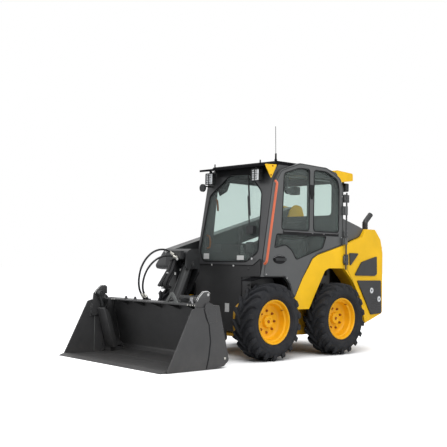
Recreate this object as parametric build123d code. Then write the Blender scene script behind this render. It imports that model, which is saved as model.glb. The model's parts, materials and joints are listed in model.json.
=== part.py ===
from build123d import *
import math
import os

# Side-entry skid steer loader with a single lift arm and a four-in-one bucket.
# Millimetres. +Z is up, the machine faces -Y and its left side is +X. Places along Y are
# measured from the front axle and along Z from the ground. When the pieces are written, the
# whole machine moves along Y so that its origin is the middle of its footprint.

# ------------------------------------------------------------------ driving dimensions
# ground contact
wheelbase = 1037
tyre_radius = 382
tyre_width = 264
tyre_centre_x = 634
rim_radius = 209
rim_width = 210
rim_flange = 13
lug_height = 27
lug_pairs = 18
wheel_bolt_circle = 101
wheel_bolt_hole = 9
wheel_bolts = 8
axle_radius = 52
axle_tube_wall = 22
running_clearance = 0.5

# chassis
chassis_half = 450
belly_z = 206
chain_case_top = 560
chain_case_width = 110
chassis_front = 190
belly_wall = 30
tie_down_x = 395
tie_down_plate = 25
tie_down_radius = 20

# cab and body
body_half = 650
skin = 38
arm_x = (-body_half + 50, -body_half + 210)
cab_right = arm_x[1] + 60
cab_wall = 45
cab_front_low = -75
cab_front_top = 84
cab_rear = 1140
cab_floor_z = 560
cab_sill = tyre_radius * 2 + 59
windscreen_sill = 940
roof_z = 1965
roof_rise = 38
rear_arch_z = tyre_radius * 2 + 154
rear_deck_front = 1578
rear_face = 1900
rear_wall = 38
tie_down = (rear_face - 14, 356)
panel_gap = 5
liner = 10
glass = 6
seat_gap = 0.3
mirror_z = 1778
deck_z = 1363
antenna_top = 2400

# lift arm: pivot, section and reach
arm_pivot = (1560, 1560)
arm_knee = (-330, 1000)
arm_depth = 190
head_x = -60
leg_x = (-330, -230)
cross_tube = (-440, 250)
cross_tube_radius = 70
cross_tube_half = 436
pin_radius = 22

# coupler and bucket
coupler_pivot = (-580, 215)
coupler_half = 425
end_plate = 34
coupler_lean = 0.266
coupler_plate = 30
tilt_top = (-378, 927)
tilt_foot = (-610, 403)
tilt_x = -150
lift_foot = (1290, 960)
lift_head = (150, 980)
bucket_half = 838
bucket_plate = 12
bucket_tip = -1483
bucket_floor = 10
jaw_pivot = (-956, 560)
clam_head = (-1040, 618)
clam_foot = (-900, 150)

# hoses from the coupling block on the head down to the coupler: x, y, z
hose_radius = 10
outlet_radius = 14
hose_routes = {
    "hose_outer": [
        (-205, -538, 1029), (-206, -581, 1059), (-210, -629, 1077), (-215, -681, 1081), (-222, -732, 1072),
        (-230, -780, 1051), (-238, -821, 1020), (-248, -855, 980), (-257, -881, 935), (-267, -899, 887),
        (-275, -908, 835), (-283, -910, 784), (-290, -906, 732), (-295, -894, 681), (-299, -871, 635),
        (-300, -834, 598)],
    "hose_inner": [
        (-150, -538, 1000), (-152, -586, 1014), (-157, -635, 1019), (-164, -684, 1014), (-174, -731, 1000),
        (-185, -775, 975), (-197, -814, 941), (-209, -846, 899), (-221, -870, 851), (-232, -885, 798),
        (-242, -890, 744), (-249, -886, 689), (-254, -869, 637), (-256, -834, 598)]}

# cylinders: outer radius of the barrel, of the rod, and the wall between them
lift_cylinder = (48, 25)
tilt_cylinder = (56, 24)
clam_cylinder = (30, 15)
bore_clearance = 1.0
gland_length = 34
gland_share = 1.12
eye_width = 60

# doors
door_hinge_x = body_half + 26
door_hinge_y = 1168
hood_hinge = (1172, 1462)
rear_door_x = (-380, 400)
rear_door_z = (440, 1200)
rear_hinge = (rear_door_x[0] - 14, rear_face + 14)
knuckle = 12

# wheel arches in side view: y, z
rear_arch_rows = [
    (wheelbase - tyre_radius - 52, tyre_radius + 110), (wheelbase - tyre_radius + 55, tyre_radius + 285),
    (wheelbase - 187, tyre_radius * 2 + 125), (wheelbase - 122, rear_arch_z), (wheelbase + 131, rear_arch_z),
    (wheelbase + 272, tyre_radius * 2 + 28), (wheelbase + tyre_radius + 35, tyre_radius + 221),
    (wheelbase + tyre_radius + 130, tyre_radius - 71)]
front_arch_rows = [
    (-200, tyre_radius * 2 + 16), (-60, cab_sill - 12), (230, cab_sill - 12),
    (tyre_radius - 28, tyre_radius + 238), (tyre_radius + 38, tyre_radius + 98)]

# the machine's middle, measured from the front axle
middle_y = (bucket_tip + rear_hinge[1] + knuckle) / 2


# ------------------------------------------------------------------ helpers
def block(x, y, z):
    """Box from (low, high) pairs."""
    size = (x[1] - x[0], y[1] - y[0], z[1] - z[0])
    return Pos((x[0] + x[1]) / 2, (y[0] + y[1]) / 2, (z[0] + z[1]) / 2) * Box(*size)


def outline(rows):
    """Flat shape from rows of u, v and corner radius; a radius is kept within its two edges."""
    points = [Vector(row[0], row[1]) for row in rows]
    shape = Polygon(*points, align=None)
    for here, row in enumerate(rows):
        if len(row) < 3 or not row[2]:
            continue
        back = points[here - 1] - points[here]
        ahead = points[(here + 1) % len(points)] - points[here]
        half_turn = math.radians(180 - back.get_angle(ahead)) / 2
        room = 0.48 * min(back.length, ahead.length) / math.tan(half_turn)
        corner = shape.vertices().sort_by_distance(points[here])[0]
        shape = fillet(corner, min(row[2], room))
    return shape


def side_slab(shape, x0, x1):
    """A flat (y, z) shape pushed across the machine from x0 to x1."""
    face = Plane.YZ.offset(x0) * shape
    return extrude(face, amount=x1 - x0, dir=(1, 0, 0))


def front_slab(shape, y0, y1):
    """A flat (x, z) shape pushed along the machine from y0 to y1."""
    face = Plane(origin=(0, y0, 0), x_dir=(1, 0, 0), z_dir=(0, -1, 0)) * shape
    return extrude(face, amount=y1 - y0, dir=(0, 1, 0))


def bar(start, end, radius):
    """Round bar between two points."""
    start, end = Vector(*start), Vector(*end)
    return extrude(Plane(origin=start, z_dir=end - start) * Circle(radius), amount=(end - start).length)


def cross_bar(place, radius, x0, x1):
    """Round bar across the machine at a (y, z) place."""
    return bar((x0, place[0], place[1]), (x1, place[0], place[1]), radius)


def bent_bar(points, bend, radius):
    """Round bar along straight runs joined by arcs."""
    path = FilletPolyline(*points, radius=bend)
    return sweep(Plane(origin=path @ 0, z_dir=path % 0) * Circle(radius), path=path)


def toward(start, end, distance):
    """The (y, z) place at a distance from start on the way to end."""
    run = math.dist(start, end)
    share = distance / run
    return (start[0] + (end[0] - start[0]) * share, start[1] + (end[1] - start[1]) * share)


def beside(start, end, distance):
    """Unit normal of a (y, z) line times a distance."""
    run = math.dist(start, end)
    return ((end[1] - start[1]) / run * distance, -(end[0] - start[0]) / run * distance)


parts = {}


# ------------------------------------------------------------------ wheels
def ring(rows):
    """Turned ring about the X axis from half of its section, as across and radius."""
    return revolve(Polygon(*rows, *[(-x, r) for x, r in reversed(rows)], align=None), axis=Axis.X)


def tyre():
    """Tyre about the X axis: a casing with chevron lugs, staggered from side to side."""
    half = tyre_width / 2
    bead = rim_width / 2 - 10
    seat = rim_radius + 0.3
    crown = tyre_radius - lug_height
    casing = ring([
        (bead, seat), (bead, rim_radius + 16), (half - 10, rim_radius + 45), (half, rim_radius + 92),
        (half - 14, crown - 22), (half - 44, crown)])
    tread = ring([
        (half - 32, rim_radius + 31), (half - 0.5, rim_radius + 94), (half - 0.5, tyre_radius - 60),
        (half - 8, tyre_radius - 34), (half - 26, tyre_radius)])
    # plan of a lug: across the tread, along the tread
    lug_rows = [(6, -20), (half - 48, 92), (half + 8, 124), (half + 8, 168), (half - 48, 138), (6, 22)]
    lugs = []
    for side in (1, -1):
        plan = Polygon(*[(side * across, along) for across, along in lug_rows], align=None)
        lug = extrude(Pos(0, 0, rim_radius) * plan, amount=tyre_radius, dir=(0, 0, 1)) & tread
        for pair in range(lug_pairs):
            turn = 360 / lug_pairs * (pair + (0.5 if side < 0 else 0))
            lugs.append(Rot(turn, 0, 0) * lug)
    return casing.fuse(*lugs)


def wheel():
    """Dished wheel with its hub and stub axle, the dish open towards +X."""
    half = rim_width / 2
    flange = rim_radius + rim_flange
    well = rim_radius - 9
    face = half - 85
    rows = [
        (-half, flange), (-half + 9, flange), (-half + 9, rim_radius), (half - 9, rim_radius),
        (half - 9, flange), (half, flange), (half, flange - 9), (half - 12, well), (half - 34, well),
        (face + 20, 148), (face + 10, 66), (face + 18, 60), (face + 18, 0), (face - 150, 0),
        (face - 150, axle_radius), (face - 28, axle_radius), (face - 28, 86), (face - 2, 86),
        (face + 8, 156), (half - 48, well), (-half + 12, well), (-half, flange - 9),
    ]
    body = revolve(Polygon(*rows, align=None), axis=Axis.X)
    for turn in range(wheel_bolts):
        angle = math.radians(360 / wheel_bolts * turn + 22.5)
        y, z = wheel_bolt_circle * math.cos(angle), wheel_bolt_circle * math.sin(angle)
        body -= cross_bar((y, z), wheel_bolt_hole, face - 40, half)
    return body


left_tyre, left_wheel = tyre(), wheel()
for name, side, y in (("fl", 1, 0), ("fr", -1, 0), ("rl", 1, wheelbase), ("rr", -1, wheelbase)):
    place = Pos(side * tyre_centre_x, y, tyre_radius)
    parts["tyre_" + name] = place * left_tyre
    parts["wheel_" + name] = place * Rot(0, 0, 0 if side > 0 else 180) * left_wheel


# ------------------------------------------------------------------ chassis
def chassis():
    """Welded tub with a chain case along each side, rounded round the axles."""
    rear = rear_face - rear_wall
    case = [
        (-chassis_front, belly_z, 120), (-chassis_front, chain_case_top, 120),
        (rear, chain_case_top, 0), (rear, belly_z + 110, 0), (wheelbase + 250, belly_z, 60),
    ]
    tub = side_slab(outline(case), -chassis_half, chassis_half)
    inner = chassis_half - chain_case_width
    tub -= block((-inner, inner), (-chassis_front - 1, cab_front_low - 12), (0, chain_case_top + 1))
    tub -= block((-inner, inner), (cab_front_low - 12, rear + 1), (belly_z + belly_wall, chain_case_top + 1))
    for side in (-1, 1):
        lug = side_slab(outline([
            (rear - 20, tie_down[1] - 34), (rear - 20, tie_down[1] + 36), (tie_down[0] + 36, tie_down[1] + 36, 34),
            (tie_down[0] + 36, tie_down[1] - 34, 34)]),
            side * tie_down_x - tie_down_plate / 2, side * tie_down_x + tie_down_plate / 2)
        tub += lug
        tub -= cross_bar(tie_down, tie_down_radius, *sorted((side * tie_down_x - 40, side * tie_down_x + 40)))
    return tub


def axle_tubes():
    """Tubes that carry the stub axles out from the chain cases."""
    outer = axle_radius + axle_tube_wall
    tubes = []
    for side in (-1, 1):
        for y in (0, wheelbase):
            x0, x1 = side * chassis_half, side * (chassis_half + 62)
            tube = cross_bar((y, tyre_radius), outer, x0, x1)
            flange = cross_bar((y, tyre_radius), outer + 24, x0, side * (chassis_half + 16))
            hole = cross_bar((y, tyre_radius), axle_radius + running_clearance, x0, x1)
            tubes.append(tube + flange - hole)
    return tubes


parts["chassis_frame"] = chassis()
# the stub axles turn in blind bores in the chain cases
stub_x = tyre_centre_x + rim_width / 2 - 85 - 150
for side in (-1, 1):
    for y in (0, wheelbase):
        parts["chassis_frame"] -= cross_bar(
            (y, tyre_radius), axle_radius + running_clearance, side * (stub_x - 6), side * (chassis_half + 1))
parts["axle_tubes"] = Compound(children=axle_tubes())

# ------------------------------------------------------------------ cab
cab_left = body_half - skin - 3
lower_left = tyre_centre_x - tyre_width / 2 - 32


def lean(z):
    """Where the cab's leaning front is at a height."""
    share = (z - windscreen_sill) / (1880 - windscreen_sill)
    return cab_front_low + (cab_front_top - cab_front_low) * share


def cab_shape(inset):
    """Side view of the cab, drawn in by a wall's thickness."""
    front = cab_front_low + inset
    slope = (cab_front_top - cab_front_low) / (1880 - windscreen_sill)
    return outline([
        (front, cab_floor_z + inset * 0.5), (front, windscreen_sill),
        (front + slope * 940, 1880, 60 if inset == 0 else 0), (front + slope * 940 + 70, roof_z - inset),
        (cab_rear - 70 - inset, roof_z - inset, 60 if inset == 0 else 0), (cab_rear - inset, 1840),
        (cab_rear - inset, cab_floor_z + inset * 0.5),
    ])


screen_x = (cab_right + 34, cab_left - 69)
screen_rows = [
    (screen_x[0], windscreen_sill + 148, 12), (screen_x[0] + 70, windscreen_sill + 30, 12),
    (screen_x[1] - 150, windscreen_sill + 30, 12), (screen_x[1], windscreen_sill + 131, 12),
    (screen_x[1] - 61, 1684, 30), (screen_x[1] - 270, 1882, 30), (screen_x[0] + 310, 1890, 30),
    (screen_x[0] + 30, 1680, 30)]
entry_rows = [
    (30, cab_sill + 20, 20), (150, 1790, 60), (240, 1900, 60), (cab_rear - 120, 1890, 60),
    (cab_rear - 60, 1790, 40), (cab_rear - 60, 1190, 40), (620, 1040, 60), (420, cab_sill + 20, 20)]
right_rows = [
    (120, 1160, 40), (190, 1850, 60), (cab_rear - 110, 1850, 60), (cab_rear - 90, 1300, 40), (700, 1160, 40)]
rear_rows = [
    (cab_right + 90, 1500, 40), (cab_right + 90, 1850, 40), (cab_left - 90, 1850, 40), (cab_left - 90, 1500, 40)]


def shrink(shape, margin):
    return offset(shape, -margin)


def cab_frame():
    """Hollow cab with its windscreen, door, right and rear openings cut."""
    shell = side_slab(cab_shape(0), cab_right, cab_left)
    hollow = side_slab(cab_shape(cab_wall), cab_right + cab_wall, lower_left - 12)
    hollow += side_slab(cab_shape(cab_wall), lower_left - 13, cab_left - cab_wall) & block(
        (lower_left - 13, cab_left), (-500, 2000), (cab_sill + 12, roof_z))
    shell -= hollow
    # footwell, down into the tub
    foot = chassis_half - chain_case_width - 10
    shell -= block((-foot, foot), (cab_front_low + cab_wall + 1, 520), (cab_floor_z - 1, cab_floor_z + 30))
    # room over both left tyres, below the sill
    shell -= block((lower_left, cab_left + 1), (-500, 2000), (0, cab_sill))
    shell -= side_slab(offset(outline(rear_arch_rows + [(1549, 0), (603, 0)]), liner), lower_left, cab_left + 1)
    # windows and the side entry
    shell -= front_slab(outline(screen_rows), -200, 260)
    shell -= side_slab(outline(entry_rows), cab_left - 100, cab_left + 1)
    shell -= side_slab(outline(right_rows), cab_right - 1, cab_right + 100)
    shell -= front_slab(outline(rear_rows), cab_rear - 100, cab_rear + 1)
    return shell


parts["cab_frame"] = cab_frame()


def cab_glass():
    """Windscreen, right window and rear window, each seated in its opening."""
    low, high = lean(windscreen_sill) + 12, lean(1900) + 12
    lean_band = outline([
        (low, windscreen_sill), (high, 1900), (high + glass, 1900), (low + glass, windscreen_sill)])
    front = front_slab(shrink(outline(screen_rows), seat_gap), -200, 260) & side_slab(lean_band, cab_right, cab_left)
    right = side_slab(shrink(outline(right_rows), seat_gap), cab_right + 12, cab_right + 12 + glass)
    rear = front_slab(shrink(outline(rear_rows), seat_gap), cab_rear - 20, cab_rear - 20 + glass)
    return [front, right, rear]


parts["cab_glass"] = Compound(children=cab_glass())

# dark lower front panel between the front tyres, spreading over them above the sill
front_panel_half = 340
panel_front = cab_front_low - 12
parts["front_panel"] = front_slab(outline([
    (-front_panel_half, belly_z + 50), (-front_panel_half, cab_sill - 10), (cab_right, cab_sill + 10),
    (cab_right, windscreen_sill - 6), (cab_left - 100, windscreen_sill - 6), (cab_left, windscreen_sill + 60),
    (cab_left, cab_sill + 10), (front_panel_half, cab_sill - 10), (front_panel_half, belly_z + 50)]),
    panel_front, cab_front_low)

# roof plate, visor and the yellow cowl behind the roof
roof_front = 95
parts["roof_cap"] = side_slab(outline([
    (roof_front, roof_z), (roof_front + 35, roof_z + roof_rise, 18), (900, roof_z + roof_rise, 18),
    (cab_rear - 90, roof_z)]), cab_right + 20, cab_left - 10)
visor_front = -53
visor_back = roof_front - seat_gap
visor_low = roof_z - 30
parts["sun_visor"] = side_slab(outline([
    (visor_front, visor_low), (visor_front, visor_low + 22), (visor_back + 13, roof_z + 14), (visor_back, roof_z),
    (visor_back, roof_z - 8)]), cab_right, cab_left - seat_gap)
cowl_rear = 1380


def visor_under(y):
    """Height of the visor's underside at a place along Y."""
    return visor_low + 22 * (y - visor_front) / (visor_back - visor_front)


def cab_back(z):
    """Where the cab's back is at a height above its upper break."""
    return cab_rear - 70 * (z - 1840) / (roof_z - 1840)


def cowl_under(y):
    """Height of the cowl's underside at a place along Y."""
    return 1860 + 36 * (y - cab_back(1860)) / (cowl_rear - cab_back(1860))


parts["roof_cowl"] = side_slab(outline([
    (cab_back(1860) + 0.5, 1860), (cab_back(1945) + 0.5, 1945), (cab_rear - 50, roof_z + 30, 20),
    (cowl_rear - 4, 1978, 16), (cowl_rear, 1896, 12)]), cab_right + 40, body_half - 60)

# lamps on brackets at the roof's front corners, and at the back under the cowl
lamp_rows = ((cab_right + 109, -12), (cab_left - 173, -12))
lamps, lenses = [], []
lens_thick = 10


def lamp(x, face, back, bottom, top, stem_y, stem_top):
    """Lamp shade between face and back, its lens sunk behind its rim, with a stem up to its seat."""
    low, high = sorted((face, back))
    inward = 1 if back > face else -1
    rows = [(x - 60, bottom, 14), (x - 60, top, 14), (x + 60, top, 14), (x + 60, bottom, 14)]
    near, deep = face + inward * 8, face + inward * (8 + lens_thick)
    recess = front_slab(shrink(outline(rows), 8), *sorted((face - inward, deep)))
    shade = front_slab(outline(rows), low, high) - recess
    stem = block((x - 12, x + 12), (stem_y - 6, stem_y + 6), (top, stem_top))
    pane = front_slab(shrink(outline(rows), 8 + seat_gap), *sorted((near, deep - inward * seat_gap)))
    return shade + stem, pane


for x, y in lamp_rows:
    shade, pane = lamp(x, y, y + 46, 1795, 1920, y + 23, visor_under(y + 17) - seat_gap)
    lamps.append(shade)
    lenses.append(pane)
for x in (cab_right + 150, body_half - 150):
    shade, pane = lamp(x, 1345, 1290, 1775, 1868, 1318, cowl_under(1312) - seat_gap)
    lamps.append(shade)
    lenses.append(pane)
parts["work_lamps"] = Compound(children=lamps)

# yellow cheek at the visor's end, in front of the door hoop
parts["roof_corner"] = side_slab(outline([
    (visor_front, roof_z - 12, 8), (visor_back + 32, roof_z - 2, 8), (45, 1815, 8)]), cab_left, cab_left + 4.5)

parts["antenna"] = bar((cab_left - 210, 330, roof_z + 60), (cab_left - 210, 318, antenna_top), 3) + bar(
    (cab_left - 210, 330, roof_z + roof_rise), (cab_left - 210, 330, roof_z + 90), 11)

mirror_x = cab_right + 78
parts["mirror"] = bar((mirror_x, lean(mirror_z - 8) - seat_gap, mirror_z), (mirror_x, -70, mirror_z), 8) + bar(
    (mirror_x, -82, mirror_z - 20), (mirror_x, -58, mirror_z - 20), 42)

parts["grab_rail"] = bent_bar([
    (body_half + 6, lean(952) - 2, 952), (body_half + 34, lean(965) - 2, 975),
    (body_half + 34, lean(1775) - 8, 1765), (body_half + 6, lean(1787) - 8, 1790)], 28, 13)

wiper_x = 415
wiper_z = 1295
blade = ((256, 1868), (363, 1446))
parts["front_wiper"] = block((wiper_x - 50, wiper_x + 50), (lean(wiper_z) - 40, lean(wiper_z) + 4.9),
                             (wiper_z - 40, wiper_z + 40))
parts["front_wiper"] += bar((wiper_x - 17, lean(wiper_z) - 22, wiper_z + 5), (304, lean(1650) - 22, 1650), 7)
parts["front_wiper"] += bar(*[(x, lean(z) - 12, z) for x, z in blade], 9)


# ------------------------------------------------------------------ body sides
def side_panel_left():
    """Yellow side with its leg between the tyres, the arch and the tall rear corner."""
    rows = [
        (433, 492), (381, 612), (487, 794), (654, 1013), (733, 1057, 60), (1150, 1168), (1477, 1273, 30),
        (1548, deck_z, 10), (1714, deck_z, 40), (1820, 1250, 40), (rear_face - 40, 1100), (rear_face - 40, 430),
        (1844, 410)] + list(reversed(rear_arch_rows))
    return side_slab(outline(rows), body_half - skin, body_half)


parts["side_panel_left"] = side_panel_left()


def arch_liner(side, rows, x_in, x_out):
    """Sheet round a wheel arch, from the chassis out to the body side."""
    front, back = rows[0], rows[-1]
    opening = outline(rows + [(back[0], 0), (front[0], 0)])
    low, high = sorted((side * x_in, side * x_out))
    sheet = side_slab(offset(opening, liner) - opening, low, high)
    sheet -= block((low - 1, high + 1), (front[0] - 50, front[0] + 0.1), (-50, front[1]))
    return sheet - block((low - 1, high + 1), (front[0] - 50, back[0] + 50), (-50, back[1]))


parts["rear_arch_liners"] = Compound(children=[
    arch_liner(1, rear_arch_rows, lower_left, body_half - skin),
])
parts["front_arch_liners"] = Compound(children=[
    arch_liner(1, front_arch_rows, lower_left, cab_left)])


def rear_frame():
    """Rear body: corners, tail and a hollow engine bay behind the rear door."""
    shape = outline([
        (rear_deck_front, 600), (rear_deck_front, deck_z), (1714, deck_z, 40), (1820, 1250, 40),
        (rear_face, 1170, 30), (rear_face, 430, 20), (1844, 400), (1600, 320), (rear_deck_front, 320)])
    body = side_slab(shape, -body_half + skin + 0.3, body_half - skin - 0.3)
    inner = outline([
        (rear_deck_front - 1, chain_case_top + 3), (rear_deck_front - 1, 1330), (1700, 1328), (1800, 1225),
        (rear_face - rear_wall, 1150), (rear_face - rear_wall, chain_case_top + 3)])
    body -= side_slab(inner, -body_half + skin + 20, body_half - skin - 20)
    body -= block((-chassis_half - 1, chassis_half + 1), (1500, rear_face - rear_wall + 1), (0, chain_case_top + 3))
    body -= block((rear_door_x[0] - 6, rear_door_x[1] + 6), (rear_face - 80, rear_face + 1),
                  (rear_door_z[0] - 6, rear_door_z[1] + 6))
    body -= block((-body_half, arm_x[1] + 36), (1500, 1790), (700, 1500))
    return body


parts["rear_frame"] = rear_frame()


def tower():
    """Right-hand tower: two plates with the arm's pivot and the lift cylinder's foot between them."""
    outer = outline([
        (wheelbase + 143, rear_arch_z), (wheelbase + 143, rear_arch_z + 92, 40), (1440, 1600, 40), (1520, 1680, 70),
        (1640, 1660, 60), (1790, 1330, 60), (rear_face - 40, 1150), (rear_face - 40, 430),
        (1844, 410)] + list(reversed(rear_arch_rows[5:])) + [(wheelbase + 203, rear_arch_z - 58)])
    inner = outline([
        (1180, chain_case_top + 1), (1180, 1010, 40), (1440, 1600, 40), (1520, 1680, 70), (1640, 1660, 60),
        (1760, 1330, 60), (1760, chain_case_top + 1)])
    outer = side_slab(outer, -body_half, -body_half + skin)
    inner = side_slab(inner, arm_x[1] + 10, arm_x[1] + 35)
    for place, radius in ((arm_pivot, 30), (lift_foot, pin_radius)):
        outer += cross_bar(place, radius, -body_half + 1, arm_x[1] + 35)
        inner -= cross_bar(place, radius, arm_x[0], arm_x[1] + 40)
    return outer, inner


parts["side_panel_right"], parts["arm_tower"] = tower()
fender_z = tyre_radius * 2 + 26
parts["fender_right"] = side_slab(outline([
    (-330, fender_z - 130), (-250, fender_z), (1170, fender_z), (1170, fender_z + 8), (-254, fender_z + 8),
    (-338, fender_z - 126)]), -body_half, -chassis_half + 30) + block(
    (-chassis_half + 20, -chassis_half + 30), (-60, 1170), (chain_case_top, fender_z))

parts["engine_block"] = block((-250, 300), (1240, 1740), (belly_z + belly_wall, 1080))

parts["exhaust_stack"] = bent_bar([
    (540, 1672, deck_z + seat_gap), (540, 1672, deck_z + 87), (540, 1772, deck_z + 180)], 50, 30)

hinge_post_z = (905, 1745)
parts["door_post"] = bar((door_hinge_x, door_hinge_y, hinge_post_z[0]), (door_hinge_x, door_hinge_y, hinge_post_z[1]),
                         9)
bracket_rows = ((957, 1072), (1640, 1722))
for z0, z1 in bracket_rows:
    parts["door_post"] += block((body_half + 0.3, door_hinge_x), (door_hinge_y - 10, door_hinge_y + 44), (z0, z1))
parts["door_post"] += block((body_half - 60, body_half), (cab_rear + 8, cab_rear + 52), bracket_rows[1]) + block(
    (body_half, body_half + 5), (door_hinge_y - 10, door_hinge_y + 44), bracket_rows[1])

# dark covers on the tail's side, each as a flat outline; the lowest carries two round lamps
cover_x = (body_half + 0.3, body_half + 14)
cover_rows = (
    [(wheelbase + 214, 1089, 8), (wheelbase + 372, 1087, 8), (wheelbase + 225, 946, 8)],
    [(wheelbase + 306, 842, 14), (wheelbase + 428, 993, 40), (1738, 1059, 10), (1742, 860, 14), (1705, 838, 20)],
    [(wheelbase + 351, 787, 14), (1818, 786, 14), (1834, 415, 20), (wheelbase + 602, 404, 20),
     (wheelbase + 489, 580)])
covers = [side_slab(outline(rows), *cover_x) for rows in cover_rows]
tail_lamp_rows = ((1643, 674), (1781, 576))
tail_lamp_radius = 37
for place in tail_lamp_rows:
    covers[-1] -= cross_bar(place, tail_lamp_radius, cover_x[1] - 6, cover_x[1] + 1)
    lenses.append(cross_bar(place, tail_lamp_radius - seat_gap, cover_x[1] - 6, cover_x[1] + 3))
parts["tail_covers"] = Compound(children=covers)
parts["lamp_lenses"] = Compound(children=lenses)

# ------------------------------------------------------------------ cab inside
seat_x = (lower_left + cab_right) / 2
seat_base_z = (cab_floor_z + cab_wall / 2 + seat_gap, 860)
cushion_z = seat_base_z[1] + seat_gap
parts["seat_base"] = block(
    (cab_right + cab_wall + 20, lower_left - 40), (560, cab_rear - cab_wall - seat_gap), seat_base_z)
seat_rows = [
    (560, cushion_z, 0), (545, 960, 40), (700, 985, 80), (905, 955, 60), (948, 1180, 90), (962, 1470, 60),
    (1072, 1458, 50), (1062, 1150, 90), (1020, cushion_z, 0)]
seat_front = front_slab(outline([
    (seat_x - 215, cushion_z), (seat_x - 245, 1000, 60), (seat_x - 190, 1490, 90), (seat_x + 190, 1490, 90),
    (seat_x + 245, 1000, 60), (seat_x + 215, cushion_z)]), 500, 1100)
parts["operator_seat"] = side_slab(outline(seat_rows), seat_x - 250, seat_x + 250) & seat_front
lever_rows = [(0, 0), (34, 0), (26, 18), (30, 30), (20, 48), (24, 60), (11, 80), (11, 150), (22, 172), (24, 200),
              (15, 222), (0, 226)]
levers = []
for side in (-1, 1):
    x = seat_x + side * 320
    lever = revolve(Plane.XZ * Polygon(*lever_rows, align=None), axis=Axis.Z)
    console = block((x - 45, x + 45), (440, 900), (cushion_z, 985))
    levers.append(console + Pos(x, 490, 984.5) * Rot(10, 0, 0) * lever)
parts["control_levers"] = Compound(children=levers)

# ------------------------------------------------------------------ side door
door_x = (body_half - skin + 2, body_half)
door_rows = [
    (-86, 826), (72, 1790, 60), (150, 1905, 80), (429, 2003, 60), (860, 1992, 60), (1085, 1902, 90), (1142, 1790, 60),
    (1142, 1174), (730, 1066, 60), (648, 1019), (480, 799), (373, 614), (350, 640), (300, 760, 60), (232, 826, 30)]
front_window = [(170, 1306, 30), (196, 1880, 60), (420, 1950, 60), (585, 1952, 30), (585, 1306, 30)]
rear_window = [
    (655, 1306, 30), (655, 1952, 30), (850, 1950, 60), (1035, 1880, 60), (1068, 1790, 40), (1068, 1306, 30)]
lower_window = [
    (100, 1258, 20), (70, 1116, 30), (230, 1152, 60), (325, 1100, 40), (395, 1004, 30), (806, 1130, 60),
    (862, 1258, 20)]


def door_panel():
    """Door with two upper windows and a lower one, as one frame."""
    panel = side_slab(outline(door_rows), *door_x)
    for window in (front_window, rear_window, lower_window):
        panel -= side_slab(outline(window), door_x[0] - 1, door_x[1] + 1)
    for z0, z1 in ((1180, 1250), (1500, 1596)):
        panel += block((body_half, door_hinge_x), (1112, 1138), (z0, z1))
        panel += block((body_half + 5, door_hinge_x + 10), (1130, door_hinge_y), (z0, z1))
        panel += bar((door_hinge_x, door_hinge_y, z0), (door_hinge_x, door_hinge_y, z1), 15)
        panel -= bar((door_hinge_x, door_hinge_y, z0 - 1), (door_hinge_x, door_hinge_y, z1 + 1), 9.4)
    return panel


parts["door_panel"] = door_panel()
pane_x = (body_half - skin / 2 - glass / 2, body_half - skin / 2 + glass / 2)
parts["door_glass"] = Compound(children=[
    side_slab(shrink(outline(window), 0.4), *pane_x) for window in (front_window, rear_window, lower_window)])
parts["door_handle"] = block((body_half + 0.3, body_half + 22), (72, 228), (988, 1014))

# ------------------------------------------------------------------ engine hood and rear door
hood_side = [
    (1156, 1182), (1156, 1476), (1480, 1388, 30), (1554, 1364, 10), (1528, 1306, 20), (1474, 1276)]
grille_y = (1215, 1405)
slat_pitch = 19


def hood_grille():
    """Slatted grille that lies in the hood's sloping top, and the opening that it fills."""
    slope = math.atan2(hood_side[2][1] - hood_side[1][1], hood_side[2][0] - hood_side[1][0])
    run = (grille_y[1] - grille_y[0]) / math.cos(slope)
    wide = hood_x[1] - hood_x[0] - 150
    place = Pos((hood_x[0] + hood_x[1]) / 2, grille_y[0],
                hood_side[1][1] + (grille_y[0] - hood_side[1][0]) * math.tan(slope)) * Rot(math.degrees(slope), 0, 0)
    hole = block((-wide / 2, wide / 2), (0, run), (-80, 20))
    rim = block((-wide / 2 + seat_gap, wide / 2 - seat_gap), (seat_gap, run - seat_gap), (-20, 2))
    rim -= block((-wide / 2 + 14, wide / 2 - 14), (14, run - 14), (-21, 3))
    for slat in range(int((run - 30) / slat_pitch)):
        y = 22 + slat_pitch * slat
        rim += block((-wide / 2 + 10, wide / 2 - 10), (y, y + 9), (-16, -2))
    return place * rim, place * hole


hood_x = (arm_x[1] + 44, body_half - skin - panel_gap)
hood = side_slab(outline(hood_side), *hood_x)
hood_room = [(1190, 1100), (1190, 1440), (1432, 1376), (1500, 1300), (1500, 1200), (1474, 1100)]
hood -= side_slab(outline(hood_room), hood_x[0] + 14, hood_x[1] - 14)
hood -= cross_bar(hood_hinge, 8.5, hood_x[0] - 1, hood_x[1] + 1)
hinge_pins = []
for x in (hood_x[0] + 100, hood_x[1] - 100):
    hood -= block((x - 15, x + 15), (hood_hinge[0] - 30, hood_hinge[0] + 14),
                  (hood_hinge[1] - 16, hood_hinge[1] + 30))
    bracket = block((x - 10, x + 10), (cab_rear + seat_gap, hood_hinge[0]), (hood_hinge[1] - 12, hood_hinge[1] + 12))
    hinge_pins.append(bracket + cross_bar(hood_hinge, 12, x - 10, x + 10) + cross_bar(hood_hinge, 8, x - 40, x + 40))
grille_frame, grille_hole = hood_grille()
parts["engine_hood"] = hood - grille_hole
parts["hood_grille"] = grille_frame
parts["hood_pins"] = Compound(children=hinge_pins)

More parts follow.
